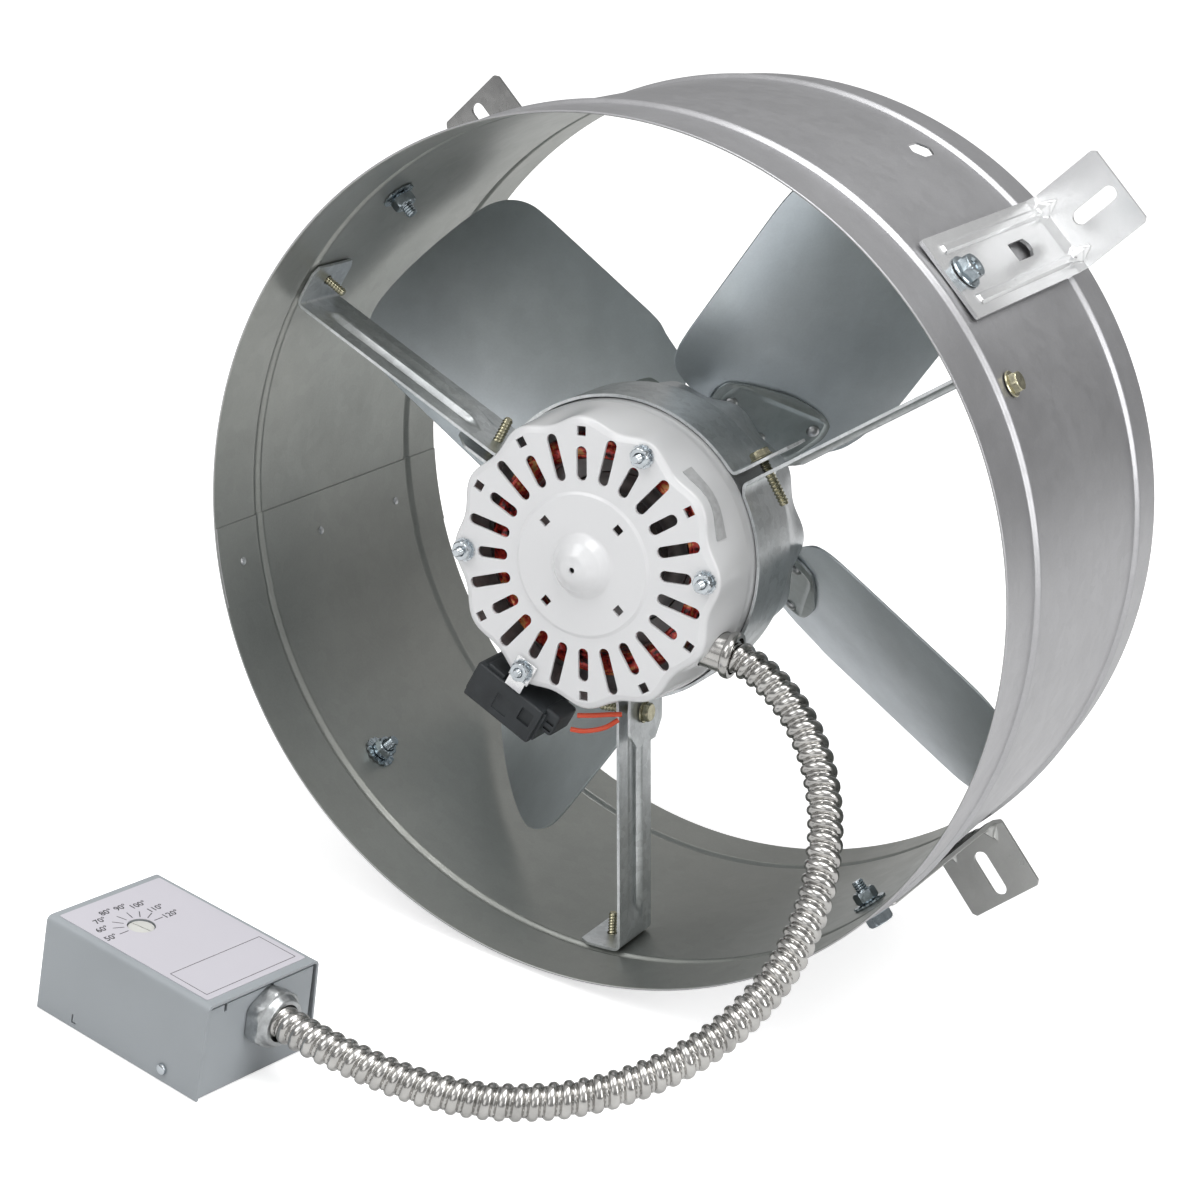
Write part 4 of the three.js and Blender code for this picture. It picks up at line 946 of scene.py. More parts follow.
# shell profiles: radius, y, corner radius
CAP_OUTER = [(0.0, -8.0, 0), (6.2, -6.9, 5), (11.2, -3.0, 6), (14.8, 1.3, 2.4),
             (32.2, 1.3, 1.2), (33.6, 2.2, 1.2), (62.4, 2.2, 1.6), (65.6, 3.6, 2.4),
             (66.8, 12, 14), (69.3, 28, 8), (69.3, 36.0, 0)]
CAP_INNER = [(67.9, 36.0, 0), (67.9, 28, 8), (65.4, 12.4, 12), (63.6, 5.0, 1.6),
             (61.6, 3.6, 1.2), (32.6, 3.6, 1.0), (31.2, 2.7, 1.0), (13.8, 2.7, 2),
             (10.2, -1.8, 5), (5.4, -5.5, 5), (0.0, -6.6, 0)]
REAR_OUTER = [(6.0, 102, 0), (13, 102, 1), (14.4, 97.2, 2), (62.0, 96, 3.5), (65.2, 93, 3),
              (67.4, 80, 8), (69.3, 72, 8), (69.3, 67.0, 0)]
REAR_INNER = [(67.9, 67.0, 0), (67.9, 71.6, 6), (66.0, 79.6, 6), (63.8, 92.2, 2),
              (61.0, 94.6, 1.5), (13.2, 95.8, 1), (12.2, 100.6, 0.6), (6.0, 100.6, 0)]


def lobes(face_y):
    """Twelve flutes round the side of a shell, fading away from its face"""
    def shape(radius, y, angle):
        fade = np.clip(1 - np.abs(y - face_y) / 26, 0, 1)
        fade = fade * fade * (3 - 2 * fade)
        rim = np.clip((radius - 56) / 6, 0, 1)
        return radius + 1.9 * fade * rim * math.cos(12 * angle)
    return shape


def side_rows(profile, step):
    """Extra points down the side of a shell, so that the flutes fade smoothly"""
    dense = [profile[0]]
    for start, end in zip(profile[:-1], profile[1:]):
        if min(start[0], end[0]) > 60 and abs(end[1] - start[1]) > step:
            count = int(abs(end[1] - start[1]) / step)
            dense += [start + (end - start) * i / (count + 1) for i in range(1, count + 1)]
        dense.append(end)
    return np.array(dense)


def shell_profile(outer, steps, row_step, inner):
    return np.concatenate([side_rows(rounded(outer, steps), row_step),
                           side_rows(rounded(inner, 3), 5)])


def build_front_cap():
    profile = shell_profile(CAP_OUTER, 6, 2.2, CAP_INNER)
    profile[0, 0] = profile[-1, 0] = 0.02
    cap = build("motor_cap_shell", "white_enamel", FAN,
                revolve_core(profile, 216, lobes(FRONT_FACE_Y)), sharp=30)
    holes = [turned(stadium(38.6, 60.2 if k % 2 else 54.2, 2.6, 9), 15 * k) for k in range(24)]
    for angle in range(0, 360, 30):
        at_bolt = angle in [bolt % 360 for bolt in (60, 0, 240, 180)]
        holes.append(turned(circle(2.4, 20, BOLT_CIRCLE) if at_bolt
                            else rectangle(58.8, 63.2, 2.2), angle))
    holes += [turned(rectangle(24, 28, 2.0), angle) for angle in (45, 135, 225, 315)]
    boolean(cap, moved(FAN, *[prism(loop, -4.5, 8.8, "y") for loop in holes],
                       prism(circle(1.4, 16), -12, -5.2, "y")),
            moved(LEVEL @ CONDUIT_START, prism(circle(9.4, 40), -4, 24)))
    tidy(cap)
    finish(cap, "motor_front_cap")


def build_rating_strip():
    """Blank curved strip on the flank of the cap"""
    flutes = lobes(FRONT_FACE_Y)
    loops = []
    for i in range(31):
        angle = (15 + i) * DEG
        corners = []
        for offset, y in ((0.12, 9.5), (0.12, 15.5), (0.42, 15.5), (0.42, 9.5)):
            side = np.interp(y, [3.6, 12, 28], [65.75, 66.8, 69.3])
            corners.append((flutes(side, y, angle) + offset, y))
        loops.append(meridian(corners, angle))
    finish(build("rating_strip_blank", "rating_strip", FAN, capped(loops)))


def build_rear_shell():
    profile = shell_profile(REAR_OUTER, 5, 2.5, REAR_INNER)
    shell = build("motor_rear_shell", "motor_shell_zinc", FAN,
                  revolve(profile, 216, lobes(REAR_FACE_Y)), sharp=30)
    holes = [turned(circle(2.4, 16, BOLT_CIRCLE), angle) for angle in THROUGH_BOLTS]
    holes += [turned(stadium(30, 52, 3, 8), 30 * k + 15) for k in range(12)]
    boolean(shell, moved(FAN, *[prism(loop, 88, 103, "y") for loop in holes]))
    tidy(shell)
    finish(shell, "motor_rear_bell")


def coil_end(start_y, end_y):
    """Ring of lumpy wire bundles, wound round one end of the core"""
    middle, half = (start_y + end_y) / 2, (end_y - start_y) / 2
    around = 2 * math.pi * np.arange(30) / 30
    rows = []
    for i in range(240):
        angle = 2 * math.pi * i / 240
        lump = 0.86 + 0.14 * abs(math.cos(3 * angle + 0.4))
        wire = 1 + 0.05 * np.sin(15 * around + 2.0 * math.sin(3 * angle))
        c, s = np.cos(around), np.sin(around)
        radius = 50.4 + 5.6 * np.sign(c) * np.abs(c) ** 0.7 * wire
        y = middle + half * lump * np.sign(s) * np.abs(s) ** 0.7 * wire
        rows.append(meridian(np.column_stack([radius, y]), angle))
    return grid(rows, True, True)


def build_coils():
    bars = [prism(turned(circle(2.6, 16, 53.3), 30 * k + 15), 34.0, 69.0, "y")
            for k in range(12)]
    finish(build("field_coils", "enamelled_wire", FAN, coil_end(15.4, 35.9),
                 coil_end(67.2, 85.6), *bars, sharp=50), "stator_winding")


def build_through_bolts():
    """Bolts along the fan axis, threaded and nutted at the front"""
    along = basis((0, 0, 0), (1, 0, 0), (0, 0, -1), (0, 1, 0))  # z to +y
    against = basis((0, 0, 0), (1, 0, 0), (0, 0, 1), (0, -1, 0))  # z to -y
    for i, angle in enumerate(THROUGH_BOLTS, 1):
        place = FAN @ turn_y(angle) @ move(BOLT_CIRCLE, 0, 0)
        finish(build(f"through_bolt_threaded_{i}", "bright_zinc_plate", place @ along,
                     stack([(1.95, 14.0), (1.95, 95.4)], 20),
                     thread(2.0, 0.8, -5.6, 14.2, depth=0.4, count=20, per_pitch=4), sharp=28),
               f"through_bolt_{i}")
        # the third nut sits further forward, on the capacitor strap
        forward = -1.6 if i == 3 else 0.0
        finish(build(f"through_nut_serrated_{i}", "bright_zinc_plate",
                     place @ move(0, 1.75 + forward, 0) @ against,
                     moved(move(0, 0, -0.15), lock_washer(2.3, 5.5, 0.6, 12)),
                     moved(move(0, 0, 0.5) @ turn_z(11 * i), hex_nut(8.4, 3.4, 2.05)),
                     sharp=28), f"through_nut_{i}")


# ------------------------------------------------------------------ capacitor and wires
# centre lines of the two leads
LEADS = ([[-8.4, 12, -74.4], [-1, 14, -73.8], [6, 17, -73.2], [10, 20, -73.4]],
         [[-12.0, 12, -81.6], [-6, 13, -81.8], [4, 15, -79.2], [9, 19, -75.9]])


def build_capacitor():
    place = FAN @ radial(-120.5)
    case = build("capacitor_case", "black_moulding", place,
                 rounded_box((-19, 19.5), (1.0, 28.5), (72.5, 91), 1.3, 4), sharp=35)
    # two pockets in the front face
    boolean(case, moved(place, rounded_box((-16, -9), (-1, 2.6), (76.5, 83.5), 0.4, 2),
                        rounded_box((-4, 4.5), (-1, 1.55), (78.5, 87), 0.4, 2)))
    # thicker waist, end block and pad towards the motor
    for block in (((-20.2, 20.6), (3.4, 26.4), (74.0, 89.4), 1.0, 3),
                  ((-26, -17), (5.5, 23), (71.6, 83.5), 2.4, 5),
                  ((6, 16), (3, 20), (70.6, 74.5), 0.8, 3)):
        boolean(case, moved(place, rounded_box(*block)), operation="UNION")
    grooves = [rounded_box((-25.0, -20.8), (4.0, 6.6), (z - 0.7, z + 0.7), 0.3, 2)
               for z in (77.0, 80.5)]
    boolean(case, moved(place, *grooves))
    tidy(case, 35)
    finish(case, "capacitor")

    place = FAN @ radial(-120)
    strap = build("capacitor_strap_plate", "bright_zinc_and_painted_highlight_sheet", place,
                  rounded_box((-5.6, 5.4), (0.25, 1.45), (55.6, 66.6), 0.4, 3), sharp=35)
    boolean(strap, moved(place, rounded_box((-4.6, 4.4), (-0.5, 0.6), (65.4, 71.5), 0.4, 3)),
            operation="UNION")
    boolean(strap, moved(place, prism(circle(2.3, 24, 0, BOLT_CIRCLE), -3, 4, "y")))
    tidy(strap, 35)
    finish(strap, "capacitor_strap")


def catmull(points, per_span):
    """Centripetal Catmull-Rom curve through the points"""
    points = [np.asarray(point, float) for point in points]
    points = [2 * points[0] - points[1], *points, 2 * points[-1] - points[-2]]

    def blend(first, second, start, end, t):
        return (end - t) / (end - start) * first + (t - start) / (end - start) * second

    curve = []
    for i in range(1, len(points) - 2):
        near = points[i - 1:i + 3]
        knots = [0.0]
        for start, end in zip(near[:-1], near[1:]):
            knots.append(knots[-1] + max(1e-6, np.linalg.norm(end - start)) ** 0.5)
        for k in range(per_span):
            t = knots[1] + (knots[2] - knots[1]) * k / per_span
            lines = [blend(near[j], near[j + 1], knots[j], knots[j + 1], t) for j in range(3)]
            arcs = [blend(lines[j], lines[j + 1], knots[j], knots[j + 2], t) for j in range(2)]
            curve.append(blend(*arcs, knots[1], knots[2], t))
    curve.append(points[-2])
    return np.array(curve)


def axes_along(path):
    """Two axes square to the path at each point, carried along without twist"""
    tangents = np.gradient(path, axis=0)
    tangents /= np.linalg.norm(tangents, axis=1)[:, None]
    x = unit(np.cross([0, 0, 1.0], tangents[0]))
    x_axes, y_axes = [], []
    for tangent in tangents:
        x = unit(x - tangent * (x @ tangent))
        x_axes.append(x)
        y_axes.append(np.cross(tangent, x))
    return x_axes, y_axes


def cross_section(centre, x_axis, y_axis, radius, count):
    """Loop round a point; radius is one number or one per loop point"""
    angle = (2 * math.pi * np.arange(count) / count)[:, None]
    return centre + np.reshape(radius, (-1, 1)) * (np.cos(angle) * x_axis
                                                   + np.sin(angle) * y_axis)


def build_wires():
    for i, points in enumerate(LEADS, 1):
        path = catmull(points, 8)
        loops = [cross_section(*place, 1.15, 14) for place in zip(path, *axes_along(path))]
        finish(build(f"lead_wire_insulated_{i}", "wire_insulation", FAN, capped(loops),
                     sharp=60), f"lead_wire_{i}")


# ------------------------------------------------------------------ fan
BLADE_ANGLES = [53.1 + 90 * i for i in range(4)]
BLADE_Y, BLADE_PITCH, CAMBER = 128.0, -45.5, 0.08
CHORD_START, CHORD_SPAN = -53.5, 117.3
# blade outline: place along the chord, distance from the fan axis
BLADE_TIP = [[-53.5, 166], [-53, 175], [-51, 181], [-48, 185], [-43, 188.5], [-35, 190.8],
             [-22, 191.5], [14, 191.5], [35, 191], [46, 189.5], [53, 186], [58, 181],
             [61.5, 175.5], [63.3, 168], [63.8, 158]]
# blade outline: place along the chord, x of the inner edge
BLADE_ROOT = [[-53.5, 92], [-53, 85], [-50.5, 77.5], [-47.3, 65.5], [-42, 55.5], [-32, 48.3],
              [-25, 44.8], [-16, 43.5], [18, 43.5], [28, 46.5], [36, 50.5], [44, 54],
              [52, 57.5], [58, 61], [61.5, 66], [63.3, 73], [63.8, 82]]
# spider arm: x, chord start, chord end, share of the blade's pitch
SPIDER_ARM = np.array([
    [9.6, -9, 9, 0.0], [14, -9.2, 9.6, 0.1], [18, -10, 11, 0.25], [26, -13, 16, 0.65],
    [34, -17, 22, 0.95], [42, -22, 29, 1], [51, -26, 34.5, 1], [59, -28.5, 35, 1],
    [65, -27.5, 33, 1], [69, -22, 24, 1], [71.5, -12, 11, 1], [72.6, -4, 2, 1]], float)
SPIDER_END = 72.6
BLADE_RIVETS = ((57, 25), (60, -21), (45.4, 1.2))  # x, place along the chord


def blade_point(x, chord, lift, share=1):
    """Point of a blade that lies along x; share scales its pitch and camber"""
    pitch = BLADE_PITCH * share * DEG
    rise = CAMBER * share * chord * chord / 100 + lift
    return np.array([x, BLADE_Y + chord * math.sin(pitch) + rise * math.cos(pitch),
                     chord * math.cos(pitch) - rise * math.sin(pitch)])


def build_blades():
    # chord places are closer together at both edges, where the outline turns fast
    chords = CHORD_START + CHORD_SPAN * (0.5 - 0.5 * np.cos(math.pi * np.linspace(0, 1, 61)))
    columns = 13
    sides = []
    for lift in (-0.5, 0.5):
        rows = []
        for chord in chords:
            tip, root = (float(smooth_table(table, chord)) for table in (BLADE_TIP, BLADE_ROOT))
            aside = blade_point(0, chord, 0)[2]
            end = math.sqrt(tip * tip - aside * aside)
            rows.append([blade_point(root + (end - root) * k / (columns - 1), chord, lift)
                         for k in range(columns)])
        sides.append(np.array(rows))
    sheet = skin(*sides)
    for i, angle in enumerate(BLADE_ANGLES, 1):
        blade = build(f"fan_blade_sheet_{i}", "blade_sheet", FAN @ turn_y(angle), sheet,
                      sharp=30)
        soften(blade, width=0.00025, angle=60)
        finish(blade, f"fan_blade_{i}", body=ROTOR)


def spider_arm():
    """Twisted arm with a raised line pressed inside its rim"""
    places = np.concatenate([np.linspace(9.6, 64, 40),
                             64 + 8.6 * np.sin(np.linspace(0.04, 1, 16) * math.pi / 2)])
    starts, ends, shares = (smooth_table(SPIDER_ARM[:, [0, k]], places) for k in (1, 2, 3))
    shares = np.clip(shares, 0, 1)
    columns = 33
    sides = []
    for offset in (-0.6, 0.6):
        rows = []
        for x, start, end, share in zip(places, starts, ends, shares):
            row = []
            for j in range(columns):
                chord = start + (end - start) * j / (columns - 1)
                inset = min(chord - start, end - chord)
                if x > 40:
                    inset = min(inset, (SPIDER_END - x) * 0.9)
                rise = 0.9 * math.exp(-((inset - 4.2) / 1.3) ** 2) * smooth_step(x, 24, 38)
                base = blade_point(x, chord, -1.4 + offset, share)
                normal = blade_point(x, chord, -2.4 + offset, share) - base
                row.append(base + normal * rise)
            rows.append(row)
        sides.append(np.array(rows))
    return skin(*sides)


def build_spider():
    disc = revolve([(9.3, 125.95), (20.6, 125.95), (21.0, 126.2), (21.0, 127.0),
                    (20.6, 127.25), (9.3, 127.25)], 72)
    spider = build("blade_spider_stamping", "spider_sheet", FAN, disc, sharp=30)
    arm = spider_arm()
    for angle in BLADE_ANGLES:
        boolean(spider, moved(FAN @ turn_y(angle), arm), operation="UNION")
    tidy(spider)
    finish(spider, "blade_spider", body=ROTOR)


def build_blade_rivets():
    """Rivets through spider and blade, with a head on each side"""
    head = stack([(3.3, 0.0), (3.2, 0.5), (2.7, 1.1), (1.7, 1.6), (0.6, 1.8)], 24)
    c, s = math.cos(BLADE_PITCH * DEG), math.sin(BLADE_PITCH * DEG)
    normal, chordwise = np.array([0, c, -s]), np.array([0, s, c])
    heads = []
    for angle in BLADE_ANGLES:
        for x, chord in BLADE_RIVETS:
            for side, lift in ((-1, -1.98), (1, 0.5)):
                slope = 2 * CAMBER * chord / 100
                up = unit(normal - chordwise * slope) * side
                x_axis = np.array([1.0, 0, 0])
                place = basis(blade_point(x, chord, lift), x_axis, np.cross(up, x_axis), up)
                heads.append(moved(turn_y(angle) @ place, head))
    finish(build("blade_rivets", "bare_steel", FAN, *heads, sharp=40), body=ROTOR)


def build_hub():
    # radius, y, corner radius
    profile = rounded([(4.3, 109, 0), (12.5, 109, 0.6), (12.5, 125.3, 0.5), (8.8, 125.3, 0.2),
                       (8.8, 130.5, 0.6), (4.3, 130.5, 0)], 3)
    hub = build("fan_hub_turned", "bare_steel", FAN, revolve(profile, 72), sharp=30)
    boolean(hub, moved(FAN @ radial(98, 117), prism(circle(2.6, 24), 3, 14)))
    tidy(hub)
    finish(hub, "fan_hub", body=ROTOR)
    profile = rounded([(0.02, -3, 0), (4, -3, 0.8), (4, 136, 0.8), (0.02, 136, 0)], 3)
    finish(build("motor_shaft_ground", "bare_steel", FAN, revolve_core(profile, 40), sharp=30),
           "motor_shaft", body=ROTOR)


# ------------------------------------------------------------------ conduit
# centre line from the motor to the box, about the fan axis but level
CONDUIT = [
    [55.7, 18.2, -24.3], [73.5, 19.5, -25.2], [90.0, 18.1, -29.8], [105.0, 14.4, -37.2],
    [118.2, 8.6, -46.8], [129.4, 0.9, -58.0], [138.3, -8.4, -70.2], [144.9, -19.0, -82.9],
    [149.2, -30.6, -95.8], [150.9, -43.1, -108.4], [150.3, -56.0, -120.4],
    [147.2, -69.3, -131.6], [141.8, -82.5, -141.8], [134.2, -95.4, -150.9],
    [124.6, -107.7, -158.8], [113.1, -119.2, -165.5], [100.1, -129.7, -171.0],
    [85.6, -138.8, -175.0], [70.0, -146.4, -177.8], [53.5, -152.2, -179.1],
    [36.3, -156.2, -179.0], [18.8, -159.8, -177.4], [1.2, -161.6, -175.4],
    [-10, -161.7, -174.5], [-19.0, -160.7, -174.1], [-27.4, -159.4, -174.1],
    [-35.8, -158.1, -174.1]]
CONDUIT_PITCH, CONDUIT_BORE = 6.5, 5.4


def conduit_start():
    """Frame at the motor end, z along the conduit"""
    z_axis = unit(np.array(CONDUIT[1]) - np.array(CONDUIT[0]))
    x_axis = unit(np.cross([0, 0, 1.0], z_axis))
    return basis(CONDUIT[0], x_axis, np.cross(z_axis, x_axis), z_axis)


CONDUIT_START = conduit_start()


def build_conduit():
    """Hose of one broad helical ridge with a narrow lip beside it"""
    curve = catmull(CONDUIT, 24)
    lengths = path_lengths(curve)
    distances = np.arange(8.2, lengths[-1] - 3.0, CONDUIT_PITCH / 18)
    path = np.stack([np.interp(distances, lengths, curve[:, i]) for i in range(3)], 1)
    # even out the sampled path so the turns stay regular
    for _ in range(6):
        path[1:-1] = 0.25 * path[:-2] + 0.5 * path[1:-1] + 0.25 * path[2:]
    count = 48
    angle = 2 * math.pi * np.arange(count) / count
    places = list(zip(path, *axes_along(path)))
    outer = []
    for place, distance in zip(places, distances):
        phase = (distance / CONDUIT_PITCH + angle / (2 * math.pi)) % 1.0
        ridge = 6.0 + 1.9 * np.clip(1 - np.abs((phase - 0.36) / 0.36) ** 2.4, 0, 1) ** 0.55
        lip = 5.9 + 0.6 * np.sqrt(np.clip(1 - ((phase - 0.85) / 0.11) ** 2, 0, 1))
        outer.append(cross_section(*place, np.maximum(ridge, lip), count))
    inner = [cross_section(*place, CONDUIT_BORE, count) for place in places]
    finish(build("conduit_interlocked", "conduit_steel", LEVEL,
                 grid(outer + inner[::-1], True, True), sharp=48), "flexible_conduit")

    # sleeve where it enters the motor: radius, distance along the conduit
    sleeve = [(8.6, 3.2), (8.6, 17.5), (10.3, 17.5), (10.75, 16.9), (10.9, 15.6),
              (10.7, 14.2), (10.2, 13.4), (9.15, 12.9), (9.1, 3.2)]
    finish(build("motor_connector_sleeve", "conduit_steel", LEVEL @ CONDUIT_START,
                 stack(sleeve, 56, closed=True), sharp=35),
           "motor_conduit_connector", slot="bright_zinc")


# ------------------------------------------------------------------ thermostat box
BOX_LENGTH, BOX_WIDTH, BOX_HEIGHT = 49.0, 33.0, 44.5  # half length, half width, full height
BOX_SHEET, BOX_FLARE = 1.2, 1.6  # the long sides of the cover flare out towards the floor
BASE_LENGTH = BOX_LENGTH - 0.8
COVER_SCREWS = ((28, -1), (-28, 1))  # x, side of the box
SCREW_Z = 6.2
DIAL_X, DIAL_Y = -18.0, -7.4
DIAL_SLOT_ANGLE = 8
OUTLET_Y, OUTLET_Z = 3.6, 28.4
PRINT_Z = BOX_HEIGHT + 0.285
# scale marks: angle of the tick, distance of its number from the dial centre
SCALE = ((-90, 17.4), (-116, 17.2), (-141, 17.6), (-167, 18.2), (-193, 17.6), (-219, 18.6),
         (-244, 17.4), (-270, 17.4))


def screw_hole(x, side, inner, outer):
    """Hole through a long side; inner and outer are offsets from the half width"""
    return prism(circle(1.9, 20, x, SCREW_Z), side * (BOX_WIDTH + inner),
                 side * (BOX_WIDTH + outer), "y")


def dial_window(radius, start, end):
    return moved(BOX, prism(circle(radius, 64, DIAL_X, DIAL_Y), BOX_HEIGHT + start,
                            BOX_HEIGHT + end))


def build_cover():
    half, height, sheet, flare = BOX_WIDTH, BOX_HEIGHT, BOX_SHEET, BOX_FLARE
    # y, z, corner radius
    outer = rounded([(-half - flare, 0.3, 0), (-half, height, 3.0), (half, height, 3.0),
                     (half + flare, 0.3, 0)], 8)
    inner = rounded([(half + flare - sheet, 0.3, 0), (half - sheet, height - sheet, 1.9),
                     (-half + sheet, height - sheet, 1.9), (-half - flare + sheet, 0.3, 0)], 8)
    cover = build("thermostat_cover_folded", "box_paint", BOX,
                  prism(np.concatenate([outer, inner]), -BOX_LENGTH, BOX_LENGTH, "x"), sharp=30)
    boolean(cover, dial_window(6.4, -4, 3))
    for x, side in COVER_SCREWS:
        boolean(cover, moved(BOX, screw_hole(x, side, -4, 6)))
    # a small L-shaped slit low on each long side
    for side in (-1, 1):
        for x_span, z_span in (((-27.6, -26.8), (2.8, 6.4)), ((-27.6, -24.8), (2.4, 3.2))):
            slit = rounded_box(x_span, (side * (half - 3), side * (half + 4)), z_span, 0.15, 2)
            boolean(cover, moved(BOX, slit))
    tidy(cover)
    soften(cover, width=0.00022, angle=55)
    finish(cover, "thermostat_cover")


def build_base():
    sheet, top, end = BOX_SHEET, BOX_HEIGHT - BOX_SHEET - 1.3, BASE_LENGTH
    # x, z, corner radius
    outer = rounded([(-end, top, 0), (-end, 0.0, 1.8), (end, 0.0, 1.8), (end, top, 0)], 6)
    inner = rounded([(end - sheet, top, 0), (end - sheet, sheet, 0.7),
                     (-end + sheet, sheet, 0.7), (-end + sheet, top, 0)], 6)
    profile = np.concatenate([outer, inner])
    # the -y edge follows the flared cover, the other stands straight
    flared = -(BOX_WIDTH - sheet - 0.35 + BOX_FLARE * (1 - profile[:, 1] / BOX_HEIGHT))
    base = build("thermostat_base_folded", "box_paint", BOX,
                 prism(profile, flared, BOX_WIDTH - sheet - 1.2, "y"), sharp=30)
    for x, side in COVER_SCREWS:
        y_span = [side * (BOX_WIDTH - sheet - depth) for depth in (2.7, 1.15)]
        boolean(base, moved(BOX, rounded_box((x - 6, x + 6), y_span, (0.3, 12), 0.3, 2)),
                operation="UNION")
    cuts = [prism(circle(9.6, 40, OUTLET_Y, OUTLET_Z), BOX_LENGTH - 6, BOX_LENGTH + 3, "x")]
    cuts += [screw_hole(x, side, -6, 2) for x, side in COVER_SCREWS]
    # notches along the top of the end panels
    for side in (-1, 1):
        for y in (-22.0, 5.5):
            cuts.append(rounded_box((side * (BOX_LENGTH - 4), side * (BOX_LENGTH + 1)),
                                    (y - 0.8, y + 0.8), (top - 3.4, top + 2), 0.25, 2))
    boolean(base, moved(BOX, *cuts))
    tidy(base)
    finish(base, "thermostat_base")


def build_cover_screws():
    screw = stack([(1.5, -6.5), (1.5, 0), (2.5, 0), (2.5, 0.5), (2.3, 1.0), (1.8, 1.35),
                   (0.9, 1.45)], 40)
    for i, (x, side) in enumerate(COVER_SCREWS, 1):
        place = basis((x, side * (BOX_WIDTH + BOX_FLARE + 0.05), SCREW_Z), (-side, 0, 0),
                      (0, 0, 1), (0, side, 0))
        finish(build(f"cover_screw_head_{i}", "bright_zinc_plate", BOX @ place, screw,
                     sharp=30), f"cover_screw_{i}")


def build_label():
    start, end, half = -BOX_LENGTH + 3.5, BOX_LENGTH - 4.6, BOX_WIDTH - 3.6
    outline = fillet(rectangle(start, end, half), 1.2, 5, True)
    label = build("thermostat_label_film", "label_film", BOX,
                  prism(outline, BOX_HEIGHT + 0.03, BOX_HEIGHT + 0.28), sharp=30)
    boolean(label, dial_window(6.2, -1, 1))
    tidy(label)
    finish(label, "thermostat_label")


def printed_bar(start, end, width):
    start, end = np.array(start, float), np.array(end, float)
    along = (end - start) / np.linalg.norm(end - start)
    aside = np.array([-along[1], along[0]]) * width / 2
    return prism(np.array([start - aside, end - aside, end + aside, start + aside]),
                 PRINT_Z, PRINT_Z + 0.05)


def build_scale():
    """Ticks round the dial, an empty ruled frame beside them, and the numbers"""
    bars = []
    for angle, _ in SCALE:
        c, s = math.cos(angle * DEG), math.sin(angle * DEG)
        inner, outer = ((DIAL_X + r * c, DIAL_Y + r * s) for r in (7.6, 12.6))
        bars.append(printed_bar(inner, outer, 0.4))
    corners = rectangle(19.5, 41.0, 26.4)
    bars += [printed_bar(corners[i], corners[(i + 1) % 4], 0.28) for i in range(4)]
    finish(build("scale_ticks", "dial_print", BOX, *bars))
    for k, (angle, distance) in enumerate(SCALE):
        build_scale_number(50 + 10 * k, angle * DEG, distance)


def build_scale_number(value, angle, distance):
    """The numbers read from the end where the conduit leaves"""
    name = f"scale_number_{value}"
    text = bpy.data.curves.new(name, "FONT")
    text.body = f"{value}°"
    text.size = 4.8
    text.offset = 0.05
    text.align_x = text.align_y = "CENTER"
    text.extrude = 0.025
    text.resolution_u = 4
    flat = new_object("flat_text", text)
    mesh = baked(flat)
    bpy.data.objects.remove(flat)
    place = BOX @ move(DIAL_X + distance * math.cos(angle), DIAL_Y + distance * math.sin(angle),
                       PRINT_Z + 0.025) @ turn_z(90)
    points = apply(place, np.array([vertex.co for vertex in mesh.vertices], float))
    mesh.vertices.foreach_set("co", points.astype(np.float32).ravel())
    mesh.materials.clear()
    mesh.materials.append(MATERIALS["dial_print"])
    mesh.update()
    finish(new_object(name, mesh))


def build_dial():
    """Round cap with a screwdriver slot, on a stem"""
    top = BOX_HEIGHT
    place = BOX @ move(DIAL_X, DIAL_Y, 0)
    dial = build("thermostat_dial_cap", "dial_plastic", place,
                 stack([(2.4, top - 8.1), (2.4, top - 2.2), (5.8, top - 2.2),
                        (5.8, top - 0.75), (5.65, top - 0.5), (5.3, top - 0.4)], 72), sharp=30)
    boolean(dial, moved(place @ turn_z(DIAL_SLOT_ANGLE),
                        rounded_box((-6.5, 6.5), (-0.3, 0.3), (top - 1.1, top + 2), 0.1, 2)))
    tidy(dial)
    finish(dial, "thermostat_dial", body=DIAL)


def build_box_connector():
    """Hex body against the end panel with a rounded neck and thick lip; locknut inside"""
    place = BOX @ basis((BASE_LENGTH, OUTLET_Y, OUTLET_Z), (0, 1, 0), (0, 0, 1), (1, 0, 0))
    # radius, distance from the panel
    body = [(8.5, -8), (8.5, 10.6), (10.1, 10.6), (10.6, 10.3), (10.9, 9.7), (11.2, 8.9),
            (11.5, 8.0), (11.9, 7.3)]
    # corner cap of the hexagon, distance from the panel
    body += [(hexagon(25, corner, 72), z) for corner, z in
             ((1.03, 7.0), (1.09, 6.2), (1.11, 0.9), (1.08, 0.4))]
    body += [(9.1, 0.35), (9.1, -8)]
    finish(build("box_connector_body", "die_cast_zinc", place, stack(body, 72, closed=True),
                 sharp=30), "box_conduit_connector")
    locknut = [(9.5, -1.6), (9.5, -4.3)]
    locknut += [(hexagon(23, corner, 72), z) for corner, z in
                ((1.06, -4.4), (1.12, -4.0), (1.12, -1.9), (1.06, -1.55))]
    finish(build("connector_locknut_turned", "bright_zinc_plate", place,
                 stack(locknut, 72, closed=True), sharp=30), "connector_locknut")


# ------------------------------------------------------------------ frame pieces that stay
KEPT = {"stator_core": "lamination_stack", "rotor_core": "lamination_stack",
        "front_bearing": "sintered_bronze", "rear_bearing": "sintered_bronze",
        "hub_set_screw": "bare_steel", "thermostat_switch": "phenolic"}


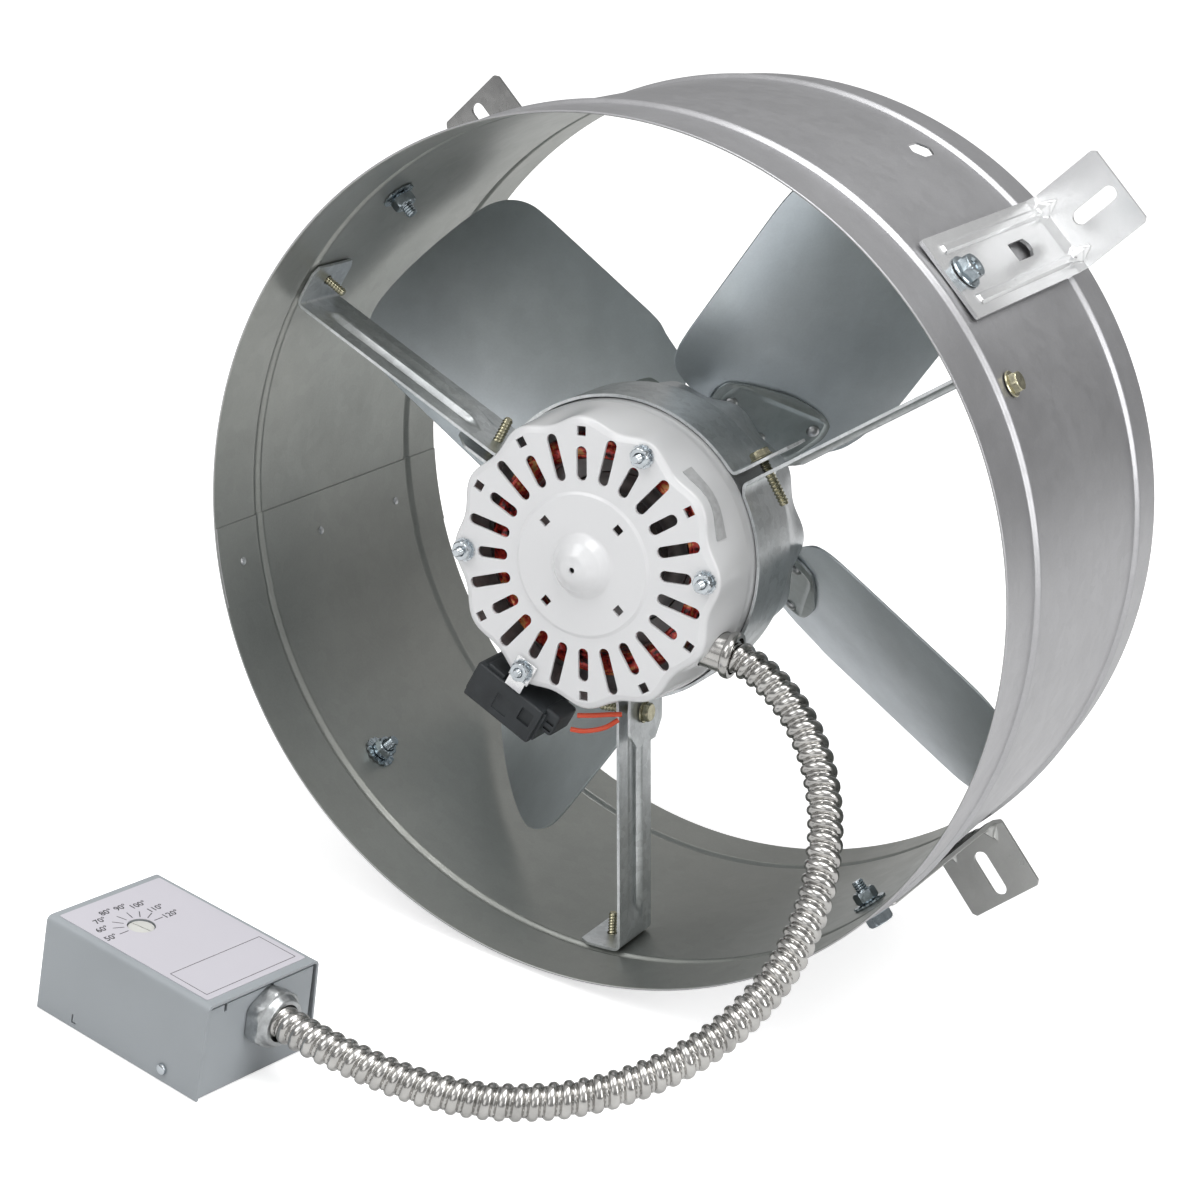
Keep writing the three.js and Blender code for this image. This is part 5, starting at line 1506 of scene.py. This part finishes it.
def dress_kept_pieces():
    for name, material in KEPT.items():
        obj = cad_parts[name]
        obj.data.materials.clear()
        obj.data.materials.append(MATERIALS[material])
        obj.modifiers.new("weld", "WELD").merge_threshold = 1e-6
        soften(obj, width=0.0002, angle=50)


# ------------------------------------------------------------------ stage, in metres
FLOOR_HALF, FLOOR_DROP = 14.0, 0.0002
FLOOR_GLOW = 0.62  # seen by the camera only
AIM = (0, 0, 0.2)
# name, place, width, height, power
LIGHTS = (("key", (-1.6, -2.0, 2.4), 1.8, 1.8, 24),
          ("top", (0.4, -0.2, 2.6), 1.8, 1.8, 34),
          ("right", (2.4, -0.3, 1.2), 1.0, 1.6, 21),
          ("front", (0.2, -3.2, 1.2), 1.6, 1.6, 9))
CAMERA_PLACE = (0.4952, -1.00998, 0.60957)
CAMERA_FORWARD = (-0.40422, 0.84466, -0.35095)
CAMERA_UP = (-0.29157, 0.24468, 0.92473)


def make_floor():
    half = FLOOR_HALF
    mesh = bpy.data.meshes.new("floor")
    mesh.from_pydata([(-half, -half, 0), (half, -half, 0), (half, half, 0), (-half, half, 0)],
                     [], [(0, 1, 2, 3)])
    mat = Material("pale_floor")
    clouds = mat.noise(scale=1.2, detail=2)
    seen = mat.add("LightPath").outputs["Is Camera Ray"]
    mat.surface(Base_Color=mat.ramp(clouds, (0.3, 0.78), (0.7, 0.80)),
                Roughness=0.8, Specular_IOR_Level=0.1, Emission_Color=(1, 1, 1),
                Emission_Strength=mat.calc("MULTIPLY", seen, FLOOR_GLOW))
    mesh.materials.append(mat.material)
    floor = new_object("floor", mesh)
    floor.location = (0, 0, -FLOOR_DROP)


def make_world():
    """Light that grows towards the zenith; the camera sees plain white"""
    world = bpy.data.worlds.new("studio")
    bpy.context.scene.world = world
    world.use_nodes = True
    sky = Shading(world.node_tree)
    direction = sky.add("SeparateXYZ", sky.add("TexCoord").outputs["Generated"])
    height = sky.calc("MULTIPLY_ADD", direction.outputs["Z"], 0.5, 0.5)
    glow = sky.ramp(height, (0.0, 0.30), (0.5, 0.26), (0.60, 0.36), (0.75, 0.62), (1.0, 1.0))
    seen = sky.add("LightPath").outputs["Is Camera Ray"]
    sky.configure(sky.tree.nodes["Background"], Color=sky.mix(seen, glow, (1.0, 1.0, 1.0)),
                  Strength=sky.calc("MULTIPLY_ADD", seen, 0.22, 0.80))


def make_lights():
    for name, place, width, height, power in LIGHTS:
        light = bpy.data.lights.new(name, "AREA")
        light.shape = "RECTANGLE"
        light.size = width
        light.size_y = height
        light.energy = power
        lamp = new_object(name, light)
        lamp.location = place
        direction = Vector(AIM) - Vector(place)
        lamp.rotation_euler = direction.to_track_quat("-Z", "Y").to_euler()


def make_camera():
    lens = bpy.data.cameras.new("camera")
    lens.lens = 80.86
    lens.sensor_width = 36
    lens.clip_end = 100
    camera = bpy.data.objects.new("camera", lens)
    forward = Vector(CAMERA_FORWARD).normalized()
    right = forward.cross(Vector(CAMERA_UP).normalized()).normalized()
    matrix = Matrix((right, right.cross(forward), -forward)).transposed().to_4x4()
    matrix.translation = Vector(CAMERA_PLACE)
    camera.matrix_world = matrix
    scene = bpy.context.scene
    scene.collection.objects.link(camera)
    scene.camera = camera
    scene.view_settings.view_transform = "Standard"
    scene.view_settings.look = "None"


make_materials()
for step in (build_ring, build_brackets, build_arms,
             build_front_cap, build_rating_strip, build_rear_shell, build_coils,
             build_through_bolts, build_capacitor, build_wires,
             build_blades, build_spider, build_blade_rivets, build_hub, build_conduit,
             build_cover, build_base, build_cover_screws, build_label, build_scale,
             build_dial, build_box_connector,
             dress_kept_pieces, make_floor, make_world, make_lights, make_camera):
    step()

bpy.context.view_layer.update()
